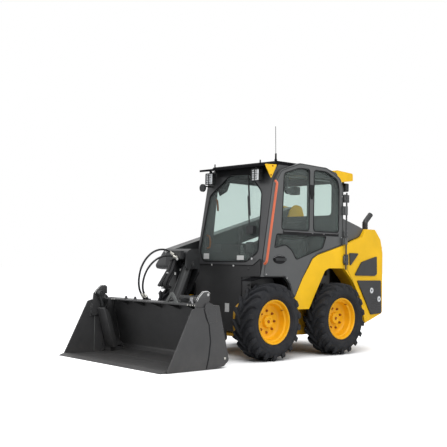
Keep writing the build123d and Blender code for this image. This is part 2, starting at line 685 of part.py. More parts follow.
door = block((rear_door_x[0], rear_door_x[1]), (rear_face - 30, rear_face), rear_door_z)
for z in (560, 1080):
    door += block((rear_hinge[0], rear_door_x[0] + 40), (rear_face + 4, rear_hinge[1] + knuckle), (z - 40, z + 40))
    door += block((rear_door_x[0] + 2, rear_door_x[0] + 40), (rear_face, rear_face + 5), (z - 40, z + 40))
    door += bar((*rear_hinge, z - 40), (*rear_hinge, z + 40), knuckle)
    door -= bar((rear_hinge[0], rear_hinge[1], z - 41), (rear_hinge[0], rear_hinge[1], z + 41), 7.4)
for z in range(rear_door_z[0] + 90, rear_door_z[1] - 110, 46):
    door += side_slab(outline([
        (rear_face - 1, z), (rear_face - 1, z + 30), (rear_face + 12, z + 6), (rear_face + 12, z)]),
        rear_door_x[0] + 90, rear_door_x[1] - 90)
parts["rear_door"] = door
pins = []
for z in (560, 1080):
    pin = bar((rear_hinge[0], rear_hinge[1], z - 66), (rear_hinge[0], rear_hinge[1], z + 66), 7)
    for z0 in (z - 66, z + 46):
        pin += block((rear_hinge[0] - 12, rear_hinge[0] + 12), (rear_face + 0.3, rear_hinge[1] + 10), (z0, z0 + 20))
    pins.append(pin)
parts["rear_hinges"] = Compound(children=pins)


# ------------------------------------------------------------------ lift arm
def arm():
    """Box arm along the right side, its head across the front and the leg down to the cross tube."""
    half = arm_depth / 2
    ny, nz = beside(arm_pivot, arm_knee, half)
    rows = [
        (arm_pivot[0] + ny, arm_pivot[1] + nz, 0), (arm_knee[0] + ny + 20, arm_knee[1] + nz, 60),
        (arm_knee[0] - 150, arm_knee[1] - 110, 60), (arm_knee[0] - 40, arm_knee[1] - 130, 40),
        (arm_knee[0] - ny + 60, arm_knee[1] - nz, 60), (arm_pivot[0] - ny, arm_pivot[1] - nz, 0)]
    body = side_slab(outline(rows), *arm_x)
    body += cross_bar(arm_pivot, half, *arm_x)
    body -= cross_bar(arm_pivot, 30 + running_clearance, arm_x[0] - 1, arm_x[1] + 1)
    return body


head_rows = [
    (-480, 885, 30), (-480, 1060, 60), (-420, 1092, 30), (-300, 1092, 30), (-300, 885, 20)]
leg_rows = [
    (-470, 900), (-478, 560, 40), (-515, 300, 0), (-440, 180, 60), (-372, 250, 0), (-375, 560, 60), (-310, 900)]


def arm_head():
    """Cross head, leg, tilt pin ear, cross tube and the end plates that hold the coupler."""
    body = side_slab(outline(head_rows), arm_x[0], head_x)
    corner = Polygon((arm_x[0] - 1, -330), (arm_x[1] + 40, -481), (arm_x[0] - 1, -481), align=None)
    body -= extrude(Pos(0, 0, 800) * corner, amount=400, dir=(0, 0, 1))
    body += side_slab(outline(leg_rows), *leg_x)
    body -= block((leg_x[1] + 0.5, head_x - 22), (-600, -322), (800, 1000))
    body += front_slab(outline([
        (leg_x[1] - 1, 890), (head_x, 890), (head_x, 850), (leg_x[1] - 1, 610)]), -322, -300)
    body += cross_bar(cross_tube, cross_tube_radius, -cross_tube_half, cross_tube_half)
    plate = outline([
        (coupler_pivot[0] - 42, coupler_pivot[1] - 10, 30), (coupler_pivot[0] - 30, coupler_pivot[1] + 46, 24),
        (cross_tube[0] + 30, cross_tube[1] + 74, 40), (cross_tube[0] + 62, cross_tube[1] - 40, 30),
        (coupler_pivot[0], coupler_pivot[1] - 50, 20)])
    for side in (-1, 1):
        low, high = sorted((side * cross_tube_half, side * (cross_tube_half + end_plate)))
        body += side_slab(plate, low, high)
    body += cross_bar(tilt_top, pin_radius, leg_x[1] - 10, head_x + 12)
    body += cross_bar(tilt_top, pin_radius + 14, head_x, head_x + 8)
    for side in (-1, 1):
        inner, outer = side * (coupler_half - 40), side * (cross_tube_half + end_plate)
        body += cross_bar(coupler_pivot, pin_radius, *sorted((inner, outer)))
    return body


arm_mid = (arm_x[0] + arm_x[1]) / 2
arm_body = arm()
for x0 in (arm_mid - 52, arm_mid + 36):
    ear = side_slab(outline([
        (lift_head[0] - 120, 1075), (lift_head[0] - 40, lift_head[1] - 30, 24),
        (lift_head[0] + 40, lift_head[1] - 30, 24), (lift_head[0] + 120, 1135)]), x0, x0 + 16)
    arm_body += ear
for x0 in (arm_mid - 60, arm_mid + 51):
    arm_body += cross_bar(lift_head, pin_radius + 8, x0, x0 + 9)
parts["lift_arm"] = arm_body + arm_head()

# oil coupling block on the head, with an outlet for each hose
coupling_block = block((arm_x[1] + 110, head_x - 40), (-530, -480.3), (975, 1070))
coupling_block -= block((leg_x[1], head_x - 39), (-531, -480), (974, 985))
for route in hose_routes.values():
    start, along = Vector(*route[0]), (Vector(*route[1]) - Vector(*route[0])).normalized()
    coupling_block += bar(start - along * 24, start, outlet_radius)
parts["coupling_block"] = coupling_block


def hose(name, route):
    """Hose of straight runs joined by arcs as large as the runs allow."""
    corners = [Vector(*place) for place in route]
    radii = []
    for back, here, front in zip(corners, corners[1:], corners[2:]):
        before, after = here - back, front - here
        half_turn = math.radians(before.get_angle(after)) / 2
        radii.append(0.45 * min(before.length, after.length) / math.tan(half_turn))
    path = FilletPolyline(*corners, radius=radii)
    tube = sweep(Plane(origin=path @ 0, z_dir=path % 0) * Circle(hose_radius), path=path)
    print(name, "radii", [round(radius) for radius in radii], "length", round(path.length),
          "volume over section times length", round(tube.volume / (math.pi * hose_radius ** 2 * path.length), 4))
    return tube


for name, route in hose_routes.items():
    parts[name] = hose(name, route)


# ------------------------------------------------------------------ cylinders
def barrel(foot, head, length, size, x, pin):
    """Cylinder barrel in the plane x: an eye round the foot pin and a bored tube towards the head."""
    outer, rod = size
    near, far = toward(foot, head, pin + 8), toward(foot, head, length)
    tube = bar((x, *near), (x, *far), outer)
    eye = cross_bar(foot, pin + 16, x - eye_width / 2, x + eye_width / 2)
    base, tip = toward(foot, head, pin + 34), toward(foot, head, length + 1)
    tube += bar((x, *toward(foot, head, length - gland_length)), (x, *far), outer * gland_share)
    return tube + eye - bar((x, *base), (x, *tip), rod + bore_clearance) - cross_bar(
        foot, pin + running_clearance, x - eye_width, x + eye_width)


def piston_rod(foot, head, start, size, x, pin):
    """Rod from inside the barrel to its eye, which carries its own pin between the ears."""
    begin, end = toward(foot, head, start), toward(head, foot, pin + 8)
    eye = cross_bar(head, pin + 16, x - eye_width / 2, x + eye_width / 2)
    pin_half = eye_width / 2 + 3
    return bar((x, *begin), (x, *end), size[1]) + eye + cross_bar(head, pin, x - pin_half, x + pin_half)


lift_barrel_length = 1010
tilt_barrel_length = 420
parts["lift_barrel"] = barrel(lift_foot, lift_head, lift_barrel_length, lift_cylinder, arm_mid, pin_radius)
parts["lift_rod"] = piston_rod(lift_foot, lift_head, 120, lift_cylinder, arm_mid, pin_radius)
parts["tilt_barrel"] = barrel(tilt_top, tilt_foot, tilt_barrel_length, tilt_cylinder, tilt_x, pin_radius)
parts["tilt_rod"] = piston_rod(tilt_top, tilt_foot, 130, tilt_cylinder, tilt_x, pin_radius)


# ------------------------------------------------------------------ coupler and bucket
def lean_back(z):
    """Where the bucket's leaning back is at a height."""
    return -700 - (z - 72) * coupler_lean


coupler_seat = 0.4


def coupler():
    """Quick coupler: a plate against the bucket's back, ears at the pivot and at the tilt pin."""
    low, high = 150, 548
    near, far = coupler_seat, coupler_seat + coupler_plate
    plate = side_slab(outline([
        (lean_back(low) + near, low), (lean_back(high) + near, high), (lean_back(high) + far, high),
        (lean_back(low) + far, low)]), -coupler_half, coupler_half)
    plate -= side_slab(outline([
        (-900, 330), (-900, 500), (-500, 500), (-500, 330)]), -60, 330)
    for side in (-1, 1):
        low_x, high_x = sorted((side * (coupler_half - 36), side * coupler_half))
        plate += side_slab(outline([
            (lean_back(150) + 20, 150), (lean_back(430) + 20, 430), (lean_back(430) + 60, 430),
            (coupler_pivot[0] + 30, coupler_pivot[1] + 38, 30), (coupler_pivot[0] + 40, coupler_pivot[1] - 34, 30)]),
            low_x, high_x)
        plate -= cross_bar(coupler_pivot, pin_radius + running_clearance, low_x - 1, high_x + 1)
    for x0 in (tilt_x - eye_width / 2 - 22, tilt_x + eye_width / 2 + 4):
        plate += side_slab(outline([
            (lean_back(300) + 20, 300), (lean_back(520) + 20, 520), (tilt_foot[0] + 6, tilt_foot[1] + 40, 20),
            (tilt_foot[0] + 36, tilt_foot[1] - 20, 20), (tilt_foot[0] - 10, tilt_foot[1] - 44, 20)]), x0, x0 + 18)
    for x0 in (tilt_x - eye_width / 2 - 30, tilt_x + eye_width / 2 + 21):
        plate += cross_bar(tilt_foot, pin_radius + 8, x0, x0 + 9)
    ends = [route[-1] for route in hose_routes.values()]
    plate += block((min(end[0] for end in ends) - 26, max(end[0] for end in ends) + 26),
                   (lean_back(high) + near, lean_back(high) + near + 34), (high - 1, high + 34))
    for route in hose_routes.values():
        start, along = Vector(*route[-1]), (Vector(*route[-1]) - Vector(*route[-2])).normalized()
        plate += bar(start, start + along * 34, outlet_radius)
    plate += block((60, 330), (lean_back(548) + near, lean_back(548) + 120), (549, 563))
    plate += block((60, 330), (lean_back(520) + near, lean_back(548) + 60), (520, 550))
    return plate


parts["coupler_frame"] = coupler()
lever_rows = []
for x in (-370, 370):
    near = lean_back(470) + coupler_seat + coupler_plate + seat_gap
    lever_rows.append(block((x - 14, x + 14), (near, near + 17), (470, 620)))
parts["coupler_levers"] = Compound(children=lever_rows)


def bucket_back():
    """Fixed back of the bucket with its rear ends, lip and heel."""
    shell = side_slab(outline([
        (-975, 0), (-975, bucket_floor), (-760, 42, 30), (-722, 84, 30), (-842, 560), (-1010, 560), (-1010, 572),
        (lean_back(572), 572), (lean_back(72), 72, 40), (-760, 20, 40)]), -bucket_half, bucket_half)
    end = outline([
        (-975, 0), (-945, 110), (-928, 250), (-950, 400), (-1000, 530), (-1000, 572), (-990, 590, 14),
        (-920, 590, 14), (-900, 572), (lean_back(572), 572), (lean_back(72), 72, 30), (-760, 20, 30)])
    for side in (-1, 1):
        low, high = sorted((side * (bucket_half - bucket_plate), side * bucket_half))
        slot = sorted((side * (bucket_half - 112), side * (bucket_half + 1)))
        shell -= block(slot, (-1011, -868), (540, 600))
        shell += side_slab(end, low, high)
        inner = side * (bucket_half - bucket_plate)
        pin_low, pin_high = sorted((side * (bucket_half - 44), inner))
        shell += cross_bar(jaw_pivot, 16, pin_low, pin_high)
    return shell


def bucket_jaw():
    """Moving jaw: floor, front ends and the pivot ears inside the fixed ends."""
    gap = 5
    floor = side_slab(outline([
        (bucket_tip + 120, 0), (bucket_tip + 120, bucket_floor), (-975 - gap, bucket_floor), (-975 - gap, 0)]),
        -bucket_half, bucket_half)
    end = outline([
        (bucket_tip + 60, 0), (-1149, 538, 20), (-1100, 552), (-1000 - gap, 552), (-1000 - gap, 528),
        (-950 - gap, 400), (-928 - gap, 250), (-945 - gap, 110), (-975 - gap, 0)])
    ear = outline([
        (-1120, 380, 30), (-1090, 620, 30), (-1040, 650, 24), (-1000, 640, 24), (-920, 590, 30), (-918, 530, 30),
        (-1000, 400, 30)])
    for side in (-1, 1):
        outer, mid = side * bucket_half, side * (bucket_half - bucket_plate)
        floor += side_slab(end, *sorted((outer, mid)))
        x0, x1 = sorted((side * (bucket_half - bucket_plate - 4), side * (bucket_half - bucket_plate - 18)))
        floor += side_slab(ear, x0, x1)
        floor += side_slab(outline([(-1120, 380), (-1110, 520), (-1015, 520), (-1000, 400)]),
                           *sorted((side * (bucket_half - bucket_plate - 5), mid)))
        floor -= cross_bar(jaw_pivot, 16 + running_clearance, x0 - 1, x1 + 1)
    return floor


parts["bucket_back"] = bucket_back()
parts["bucket_jaw"] = bucket_jaw()
parts["cutting_edge"] = side_slab(outline([
    (bucket_tip, 0), (bucket_tip, 3), (bucket_tip + 60, 22), (bucket_tip + 119.5, 22), (bucket_tip + 119.5, 0)]),
    -bucket_half + 16, bucket_half - 16)

clam_barrels, clam_rods = [], []
for side in (-1, 1):
    x = side * (bucket_half - 70)
    clam_barrels.append(barrel(clam_foot, clam_head, 340, clam_cylinder, x, 12))
    clam_rods.append(piston_rod(clam_foot, clam_head, 60, clam_cylinder, x, 12))
    lug = side_slab(outline([(-880, 60, 0), (-930, 130, 20), (-920, 172, 14), (-880, 172, 14), (-760, 90)]),
                    x - eye_width / 2 - 16, x - eye_width / 2 - 4)
    lug2 = side_slab(outline([(-880, 60, 0), (-930, 130, 20), (-920, 172, 14), (-880, 172, 14), (-760, 90)]),
                     x + eye_width / 2 + 4, x + eye_width / 2 + 16)
    parts["bucket_back"] += lug + lug2 + block((x - 46, x + 46), (-930, -760), (20, 62))
    parts["bucket_back"] += cross_bar(clam_foot, 12, x - eye_width / 2 - 16, x + eye_width / 2 + 16)
parts["clam_barrels"] = Compound(children=clam_barrels)
parts["clam_rods"] = Compound(children=clam_rods)

# ------------------------------------------------------------------ write the pieces
os.makedirs("parts", exist_ok=True)
for name, piece in parts.items():
    export_step(Pos(0, -middle_y, 0) * piece, "parts/" + name + ".step")
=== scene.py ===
import json
import math
import bmesh
import bpy
from mathutils import Matrix, Vector


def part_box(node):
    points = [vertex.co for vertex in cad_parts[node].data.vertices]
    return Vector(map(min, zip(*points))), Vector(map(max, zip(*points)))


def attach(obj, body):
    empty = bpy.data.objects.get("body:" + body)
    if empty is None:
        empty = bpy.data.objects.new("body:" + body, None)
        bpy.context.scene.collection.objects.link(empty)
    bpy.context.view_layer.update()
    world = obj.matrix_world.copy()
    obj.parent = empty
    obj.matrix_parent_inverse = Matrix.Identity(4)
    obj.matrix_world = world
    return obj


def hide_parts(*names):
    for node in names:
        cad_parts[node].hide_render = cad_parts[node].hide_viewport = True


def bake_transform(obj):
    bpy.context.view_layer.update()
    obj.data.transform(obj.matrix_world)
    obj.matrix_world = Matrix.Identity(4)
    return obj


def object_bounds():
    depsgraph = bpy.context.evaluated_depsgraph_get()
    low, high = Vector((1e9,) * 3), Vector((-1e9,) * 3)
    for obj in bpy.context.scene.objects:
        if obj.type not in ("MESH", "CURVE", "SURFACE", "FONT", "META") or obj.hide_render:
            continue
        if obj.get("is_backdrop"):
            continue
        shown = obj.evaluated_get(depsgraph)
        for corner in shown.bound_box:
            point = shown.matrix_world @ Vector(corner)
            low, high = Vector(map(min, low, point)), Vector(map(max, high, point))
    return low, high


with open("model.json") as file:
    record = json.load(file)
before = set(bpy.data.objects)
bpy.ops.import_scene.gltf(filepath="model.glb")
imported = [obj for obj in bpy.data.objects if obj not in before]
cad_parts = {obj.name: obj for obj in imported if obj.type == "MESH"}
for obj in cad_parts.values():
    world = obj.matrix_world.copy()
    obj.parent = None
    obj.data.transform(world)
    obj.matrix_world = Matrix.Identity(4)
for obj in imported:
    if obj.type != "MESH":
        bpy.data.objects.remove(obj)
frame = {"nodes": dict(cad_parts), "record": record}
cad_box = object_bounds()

nodes = frame["nodes"]
scene = bpy.context.scene
scene.view_settings.view_transform = "Standard"


# ------------------------------------------------------------------ places taken from the frame
def middle(node):
    """Middle of a node's box."""
    low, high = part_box(node)
    return (low + high) / 2


axle_y = middle("wheel_fl").y
axle_z = middle("wheel_fl").z
tyre_low, tyre_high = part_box("tyre_fl")
tyre_radius = (tyre_high.z - tyre_low.z) / 2
tyre_width = tyre_high.x - tyre_low.x


def at(x, y, z):
    """Place in metres: x from the middle, y from the front axle, z from the ground."""
    return Vector((x, y + axle_y, z))


def mm(x, y, z):
    """The same place in millimetres."""
    return at(x / 1000, y / 1000, z / 1000)


def at_x(x, rows):
    """Rows of (y, z) in millimetres as places at one x."""
    return [mm(x, y, z) for y, z in rows]


# ------------------------------------------------------------------ camera
camera_azimuth, camera_pitch, camera_roll = 0.829454, 0.046281, 0.019493
camera_lens = 65.07
camera_place = at(6.27114, -5.77522, 0.974865)
ahead = Vector((
    -math.sin(camera_azimuth) * math.cos(camera_pitch), math.cos(camera_azimuth) * math.cos(camera_pitch),
    math.sin(camera_pitch)))
level = ahead.cross(Vector((0, 0, 1))).normalized()
over = level.cross(ahead)
right = level * math.cos(camera_roll) + over * math.sin(camera_roll)
up = over * math.cos(camera_roll) - level * math.sin(camera_roll)
camera = bpy.data.objects.new("camera", bpy.data.cameras.new("camera"))
scene.collection.objects.link(camera)
camera.data.lens = camera_lens
camera.data.sensor_width = 36
camera.data.clip_end = 200
turned = Matrix((right, up, -ahead)).transposed().to_4x4()
camera.matrix_world = Matrix.Translation(camera_place) @ turned
scene.camera = camera

# ------------------------------------------------------------------ the two hoses to the coupler
hose_size = 0.020
hose_routes = {
    "outer": [
        (-205, -538, 1029), (-206, -581, 1059), (-210, -629, 1077), (-215, -681, 1081), (-222, -732, 1072),
        (-230, -780, 1051), (-238, -821, 1020), (-248, -855, 980), (-257, -881, 935), (-267, -899, 887),
        (-275, -908, 835), (-283, -910, 784), (-290, -906, 732), (-295, -894, 681), (-299, -871, 635),
        (-300, -834, 598)],
    "inner": [
        (-150, -538, 1000), (-152, -586, 1014), (-157, -635, 1019), (-164, -684, 1014), (-174, -731, 1000),
        (-185, -775, 975), (-197, -814, 941), (-209, -846, 899), (-221, -870, 851), (-232, -885, 798),
        (-242, -890, 744), (-249, -886, 689), (-254, -869, 637), (-256, -834, 598)],
}


def spline_mesh(name, route, bevel):
    """The mesh of a NURBS spline through a route, a bare line or a tube."""
    data = bpy.data.curves.new(name, "CURVE")
    data.dimensions = "3D"
    data.resolution_u = 6
    data.bevel_depth = bevel
    data.bevel_resolution = 3
    data.use_fill_caps = bevel > 0
    spline = data.splines.new("NURBS")
    spline.points.add(len(route) - 1)
    for point, place in zip(spline.points, route):
        point.co = (*mm(*place), 1)
    spline.order_u = 3
    spline.use_endpoint_u = True
    curve = bpy.data.objects.new(name, data)
    scene.collection.objects.link(curve)
    bpy.context.view_layer.update()
    mesh = bpy.data.meshes.new_from_object(curve)
    bpy.data.objects.remove(curve)
    return mesh


hoses = {}
for name, route in hose_routes.items():
    line = [vert.co.copy() for vert in spline_mesh("line", route, 0).vertices]
    thing = bpy.data.objects.new("hose_tube_" + name, spline_mesh("tube", route, hose_size / 2))
    scene.collection.objects.link(thing)
    for face in thing.data.polygons:
        face.use_smooth = len(face.vertices) == 4
    hoses[name] = (thing, line)


# ------------------------------------------------------------------ materials
class Graph:
    """The node tree of a material or a world, with short calls for nodes and links."""

    def __init__(self, owner, output="ShaderNodeOutputMaterial"):
        self.owner = owner
        owner.use_nodes = True
        self.tree = owner.node_tree
        self.tree.nodes.clear()
        self.output = self.add(output)

    def add(self, kind, settings=None, **sockets):
        """A node with its settings, each socket given a value or a link."""
        node = self.tree.nodes.new(kind)
        for key, value in (settings or {}).items():
            setattr(node, key, value)
        for key, value in sockets.items():
            socket = node.inputs[key.replace("_", " ")]
            if isinstance(value, bpy.types.NodeSocket):
                self.tree.links.new(value, socket)
            else:
                socket.default_value = value
        return node

    def coords(self):
        """The object's own coordinates."""
        return self.add("ShaderNodeTexCoord").outputs["Object"]

    def noise(self, scale, detail=3.0, rough=0.55, vector=None):
        """Noise over the object's own coordinates, or over a vector."""
        return self.add("ShaderNodeTexNoise", Vector=vector or self.coords(), Scale=scale, Detail=detail,
                        Roughness=rough).outputs["Fac"]

    def ramp(self, value, low, high, start=0.0, end=1.0):
        """A value's run from low to high, turned into a run from start to end."""
        node = self.add("ShaderNodeMapRange", {"clamp": True}, Value=value)
        for key, number in (("From Min", low), ("From Max", high), ("To Min", start), ("To Max", end)):
            node.inputs[key].default_value = number
        return node.outputs["Result"]

    def mix(self, factor, first, second):
        """Mix of two colours, each a tuple or a socket."""
        node = self.add("ShaderNodeMix", {"data_type": "RGBA"})
        for socket, value in ((node.inputs[0], factor), (node.inputs[6], first), (node.inputs[7], second)):
            if isinstance(value, tuple):
                socket.default_value = (*value, 1)
            else:
                self.tree.links.new(value, socket)
        return node.outputs[2]

    def combine(self, operation, first, second):
        """Sum, product or the like of two sockets."""
        node = self.add("ShaderNodeMath", {"operation": operation})
        self.tree.links.new(first, node.inputs[0])
        self.tree.links.new(second, node.inputs[1])
        return node.outputs[0]

    def blend(self, factor, first, second):
        """Mix of two shaders."""
        node = self.add("ShaderNodeMixShader")
        for socket, value in zip(node.inputs, (factor, first, second)):
            self.tree.links.new(value, socket)
        return node.outputs[0]

    def bump(self, height, strength, distance, normal=None):
        """A normal tilted by a height, in metres of distance."""
        node = self.add("ShaderNodeBump", Height=height, Strength=strength, Distance=distance)
        if normal:
            self.tree.links.new(normal, node.inputs["Normal"])
        return node.outputs["Normal"]

    def finish(self, shader):
        """The owner, with a shader on its surface."""
        self.tree.links.new(shader, self.output.inputs["Surface"])
        return self.owner


def shade(colour, factor):
    """A colour made darker or lighter."""
    return tuple(min(1.0, c * factor) for c in colour)


def painted(name, colour, rough=0.35, coat=0.3, dust=None, soft_edge=0.003, grain=90.0, depth=0.08,
            vary=0.10, wear=None, shine=0.5):
    """Paint with slight patchiness, fine orange peel, softened and worn edges and dust low down; on the frame
    paint the colour low down is painted shade.
    """
    g = Graph(bpy.data.materials.new(name))
    patch = g.noise(3.0, 4.0)
    tone = g.mix(g.ramp(patch, 0.3, 0.7), shade(colour, 1 - vary), shade(colour, 1 + vary * 0.6))
    # Darker towards the bottom: dust on most paints, painted shade on the frame paint.
    if dust:
        dust_and_shade_colour, dust_and_shade_top, dust_and_shade_amount = dust
        height = g.add("ShaderNodeSeparateXYZ", Vector=g.coords()).outputs["Z"]
        low = g.ramp(height, 0.0, dust_and_shade_top, dust_and_shade_amount, 0.0)
        speckle = g.ramp(g.noise(14.0, 5.0), 0.35, 0.75)
        tone = g.mix(g.combine("MULTIPLY", low, speckle), tone, dust_and_shade_colour)
    edge = g.add("ShaderNodeBevel", {"samples": 4}, Radius=soft_edge).outputs["Normal"]
    if wear:
        flat = g.add("ShaderNodeNewGeometry").outputs["Normal"]
        turned = g.add("ShaderNodeVectorMath", {"operation": "DOT_PRODUCT"})
        g.tree.links.new(edge, turned.inputs[0])
        g.tree.links.new(flat, turned.inputs[1])
        corners = g.ramp(turned.outputs["Value"], 0.98, 0.84)
        patches = g.ramp(g.noise(26.0, 5.0), 0.38, 0.62)
        tone = g.mix(g.combine("MULTIPLY", corners, patches), tone, wear)
    normal = g.bump(g.noise(grain, 2.0), depth, 0.002, edge)
    shader = g.add("ShaderNodeBsdfPrincipled", Base_Color=tone,
                   Roughness=g.ramp(g.noise(9.0, 3.0), 0.3, 0.7, rough - 0.05, rough + 0.08), Normal=normal)
    shader.inputs["Specular IOR Level"].default_value = shine
    shader.inputs["Coat Weight"].default_value = coat
    shader.inputs["Coat Roughness"].default_value = 0.12
    return g.finish(shader.outputs[0])


def rubber(name, colour, rough=0.75, dust=None, shine=0.3):
    """Rubber or moulded plastic with a fine leathery grain."""
    g = Graph(bpy.data.materials.new(name))
    tone = g.mix(g.ramp(g.noise(6.0, 5.0), 0.3, 0.7), shade(colour, 0.8), shade(colour, 1.25))
    if dust:
        tone = g.mix(g.ramp(g.noise(18.0, 6.0), 0.45, 0.8, 0.0, dust[1]), tone, dust[0])
    cell = g.add("ShaderNodeTexVoronoi", Vector=g.coords(), Scale=420.0).outputs["Distance"]
    normal = g.bump(cell, 0.12, 0.0012)
    shader = g.add("ShaderNodeBsdfPrincipled", Base_Color=tone, Roughness=rough, Normal=normal)
    shader.inputs["Specular IOR Level"].default_value = shine
    return g.finish(shader.outputs[0])


def metal(name, colour, rough=0.25, stretch=(1, 1, 40)):
    """Machined or plated steel with fine drawn lines."""
    g = Graph(bpy.data.materials.new(name))
    lines = g.add("ShaderNodeMapping", Vector=g.coords(), Scale=stretch).outputs[0]
    streak = g.noise(30.0, 4.0, vector=lines)
    tone = g.mix(g.ramp(streak, 0.3, 0.7), shade(colour, 0.85), shade(colour, 1.1))
    shader = g.add("ShaderNodeBsdfPrincipled", Base_Color=tone, Metallic=1.0,
                   Roughness=g.ramp(streak, 0.3, 0.7, rough, rough + 0.12),
                   Normal=g.bump(streak, 0.06, 0.001))
    return g.finish(shader.outputs[0])


def glazing(name, tint):
    """Tinted safety glass: a clear tinted pane with gloss and faint smears, and a grey base colour that is a
    painted reflection.
    """
    g = Graph(bpy.data.materials.new(name))
    smear = g.noise(5.0, 6.0)
    clear = g.add("ShaderNodeBsdfTransparent", Color=(*tint, 1))
    # The grey base colour stands in for reflections in the glass: painted reflection, varied by the smears.
    tone = g.mix(smear, shade(tint, 0.30), shade(tint, 0.42))
    shader = g.add("ShaderNodeBsdfPrincipled", Base_Color=tone, Roughness=g.ramp(smear, 0.3, 0.8, 0.02, 0.07))
    gloss = g.add("ShaderNodeLayerWeight", Blend=0.5).outputs["Facing"]
    return g.finish(g.blend(g.ramp(gloss, 0.45, 1.0, 0.10, 0.6), clear.outputs[0], shader.outputs[0]))


def fabric(name, colour):
    """Woven seat cloth."""
    g = Graph(bpy.data.materials.new(name))
    where = g.coords()
    waves = []
    for direction in ("X", "Z"):
        wave = g.add("ShaderNodeTexWave", {"bands_direction": direction}, Vector=where, Scale=260.0,
                     Distortion=0.4)
        waves.append(wave.outputs["Fac"])
    weave = g.combine("MULTIPLY", *waves)
    tone = g.mix(weave, shade(colour, 0.7), shade(colour, 1.5))
    shader = g.add("ShaderNodeBsdfPrincipled", Base_Color=tone, Roughness=0.9,
                   Normal=g.bump(weave, 0.3, 0.0015))
    shader.inputs["Sheen Weight"].default_value = 0.3
    return g.finish(shader.outputs[0])


def lens(name, colour, painted_highlight_glow=0.0):
    """Moulded lamp lens with fine flutes, with lighter bands and a faint emission as painted highlights."""
    g = Graph(bpy.data.materials.new(name))
    wave = g.add("ShaderNodeTexWave", {"bands_direction": "Z"}, Vector=g.coords(), Scale=26.0)
    flutes = wave.outputs["Fac"]
    # The lighter bands along the flutes are painted highlights.
    tone = g.mix(flutes, shade(colour, 0.55), shade(colour, 1.1))
    shader = g.add("ShaderNodeBsdfPrincipled", Base_Color=tone, Roughness=0.12,
                   Normal=g.bump(flutes, 0.5, 0.004))
    shader.inputs["Coat Weight"].default_value = 1.0
    # The faint emission is a painted highlight on the lens.
    if painted_highlight_glow:
        shader.inputs["Emission Color"].default_value = (*colour, 1)
        shader.inputs["Emission Strength"].default_value = painted_highlight_glow
    return g.finish(shader.outputs[0])


# The second colour is painted shade: on the frame paint it darkens the lower parts in brown.
earth, painted_shade_brown = (0.22, 0.19, 0.15), (0.10, 0.06, 0.03)
bright_edge = (0.20, 0.20, 0.20)
material = {
    "yellow": painted("yellow_paint", (0.86, 0.50, 0.006), 0.36, 0.08, dust=(earth, 0.5, 0.12), shine=0.25),
    "wheel": painted("wheel_paint", (0.86, 0.43, 0.005), 0.4, 0.05, dust=(earth, 0.7, 0.10), shine=0.25),
    # The frame yellow is the body yellow darkened as painted shade, with more painted shade in brown towards
    # the bottom.
    "yellow_in_painted_shade": painted("frame_yellow_painted_shade", (0.50, 0.26, 0.006), 0.45, 0.1, dust=(painted_shade_brown, 0.9, 0.55)),
    "charcoal": painted("charcoal_paint", (0.066, 0.069, 0.070), 0.42, 0.2, grain=260.0, depth=0.10),
    "frame": painted("cab_frame_paint", (0.046, 0.047, 0.049), 0.45, 0.08, grain=260.0, depth=0.10,
                     shine=0.35),
    "cover": painted("cover_plastic", (0.040, 0.040, 0.041), 0.5, 0.05, grain=320.0, depth=0.14, shine=0.3),
    "panel": painted("panel_paint", (0.030, 0.030, 0.031), 0.5, 0.05, dust=(earth, 0.6, 0.08), grain=200.0,
                     shine=0.3),
    "black": painted("black_paint", (0.020, 0.021, 0.022), 0.4, 0.15, dust=(earth, 0.6, 0.08), grain=140.0,
                     wear=(0.12, 0.12, 0.12), shine=0.35),
    "roof": painted("roof_black", (0.004, 0.004, 0.005), 0.55, 0.0, grain=200.0, shine=0.06),
    "bucket": painted("bucket_paint", (0.052, 0.052, 0.053), 0.48, 0.05, dust=(earth, 0.25, 0.10), grain=120.0,
                      depth=0.14, vary=0.16, wear=bright_edge, shine=0.35),
    "orange": painted("rail_paint", (0.58, 0.105, 0.032), 0.35, 0.3),
    "nut": painted("nut_paint", (0.30, 0.085, 0.010), 0.5, 0.0, vary=0.3, shine=0.2),
    "plastic": rubber("moulded_plastic", (0.020, 0.021, 0.022), 0.5),
    "grey_plastic": rubber("grey_plastic", (0.11, 0.115, 0.112), 0.55),
    "pale_plastic": rubber("pale_plastic", (0.42, 0.44, 0.43), 0.5),
    "headliner": rubber("headliner_cloth", (0.16, 0.165, 0.16), 0.9, shine=0.1),
    "tyre": rubber("tyre_rubber", (0.019, 0.020, 0.023), 0.78, dust=((0.065, 0.062, 0.058), 0.25),
                   shine=0.2),
    "hose": rubber("hose_rubber", (0.012, 0.012, 0.013), 0.5),
    "seal": rubber("seal_rubber", (0.008, 0.008, 0.009), 0.6, shine=0.2),
    "chrome": metal("rod_chrome", (0.72, 0.73, 0.75), 0.12),
    "steel": metal("machined_steel", (0.42, 0.42, 0.43), 0.32),
    "zinc": metal("zinc_plate", (0.66, 0.65, 0.60), 0.28, stretch=(1, 1, 4)),
    "glass": glazing("cab_glass", (0.915, 0.965, 0.95)),
    "door_glass": glazing("door_glass", (0.91, 0.965, 0.945)),
    "fabric": fabric("seat_cloth", (0.045, 0.045, 0.048)),
    # The lens's emission of 0.15 is a painted highlight.
    "lens": lens("lamp_lens", (0.80, 0.82, 0.84), 0.15),
    "plate": painted("blank_plate", (0.62, 0.62, 0.61), 0.4, 0.2, vary=0.05),
}

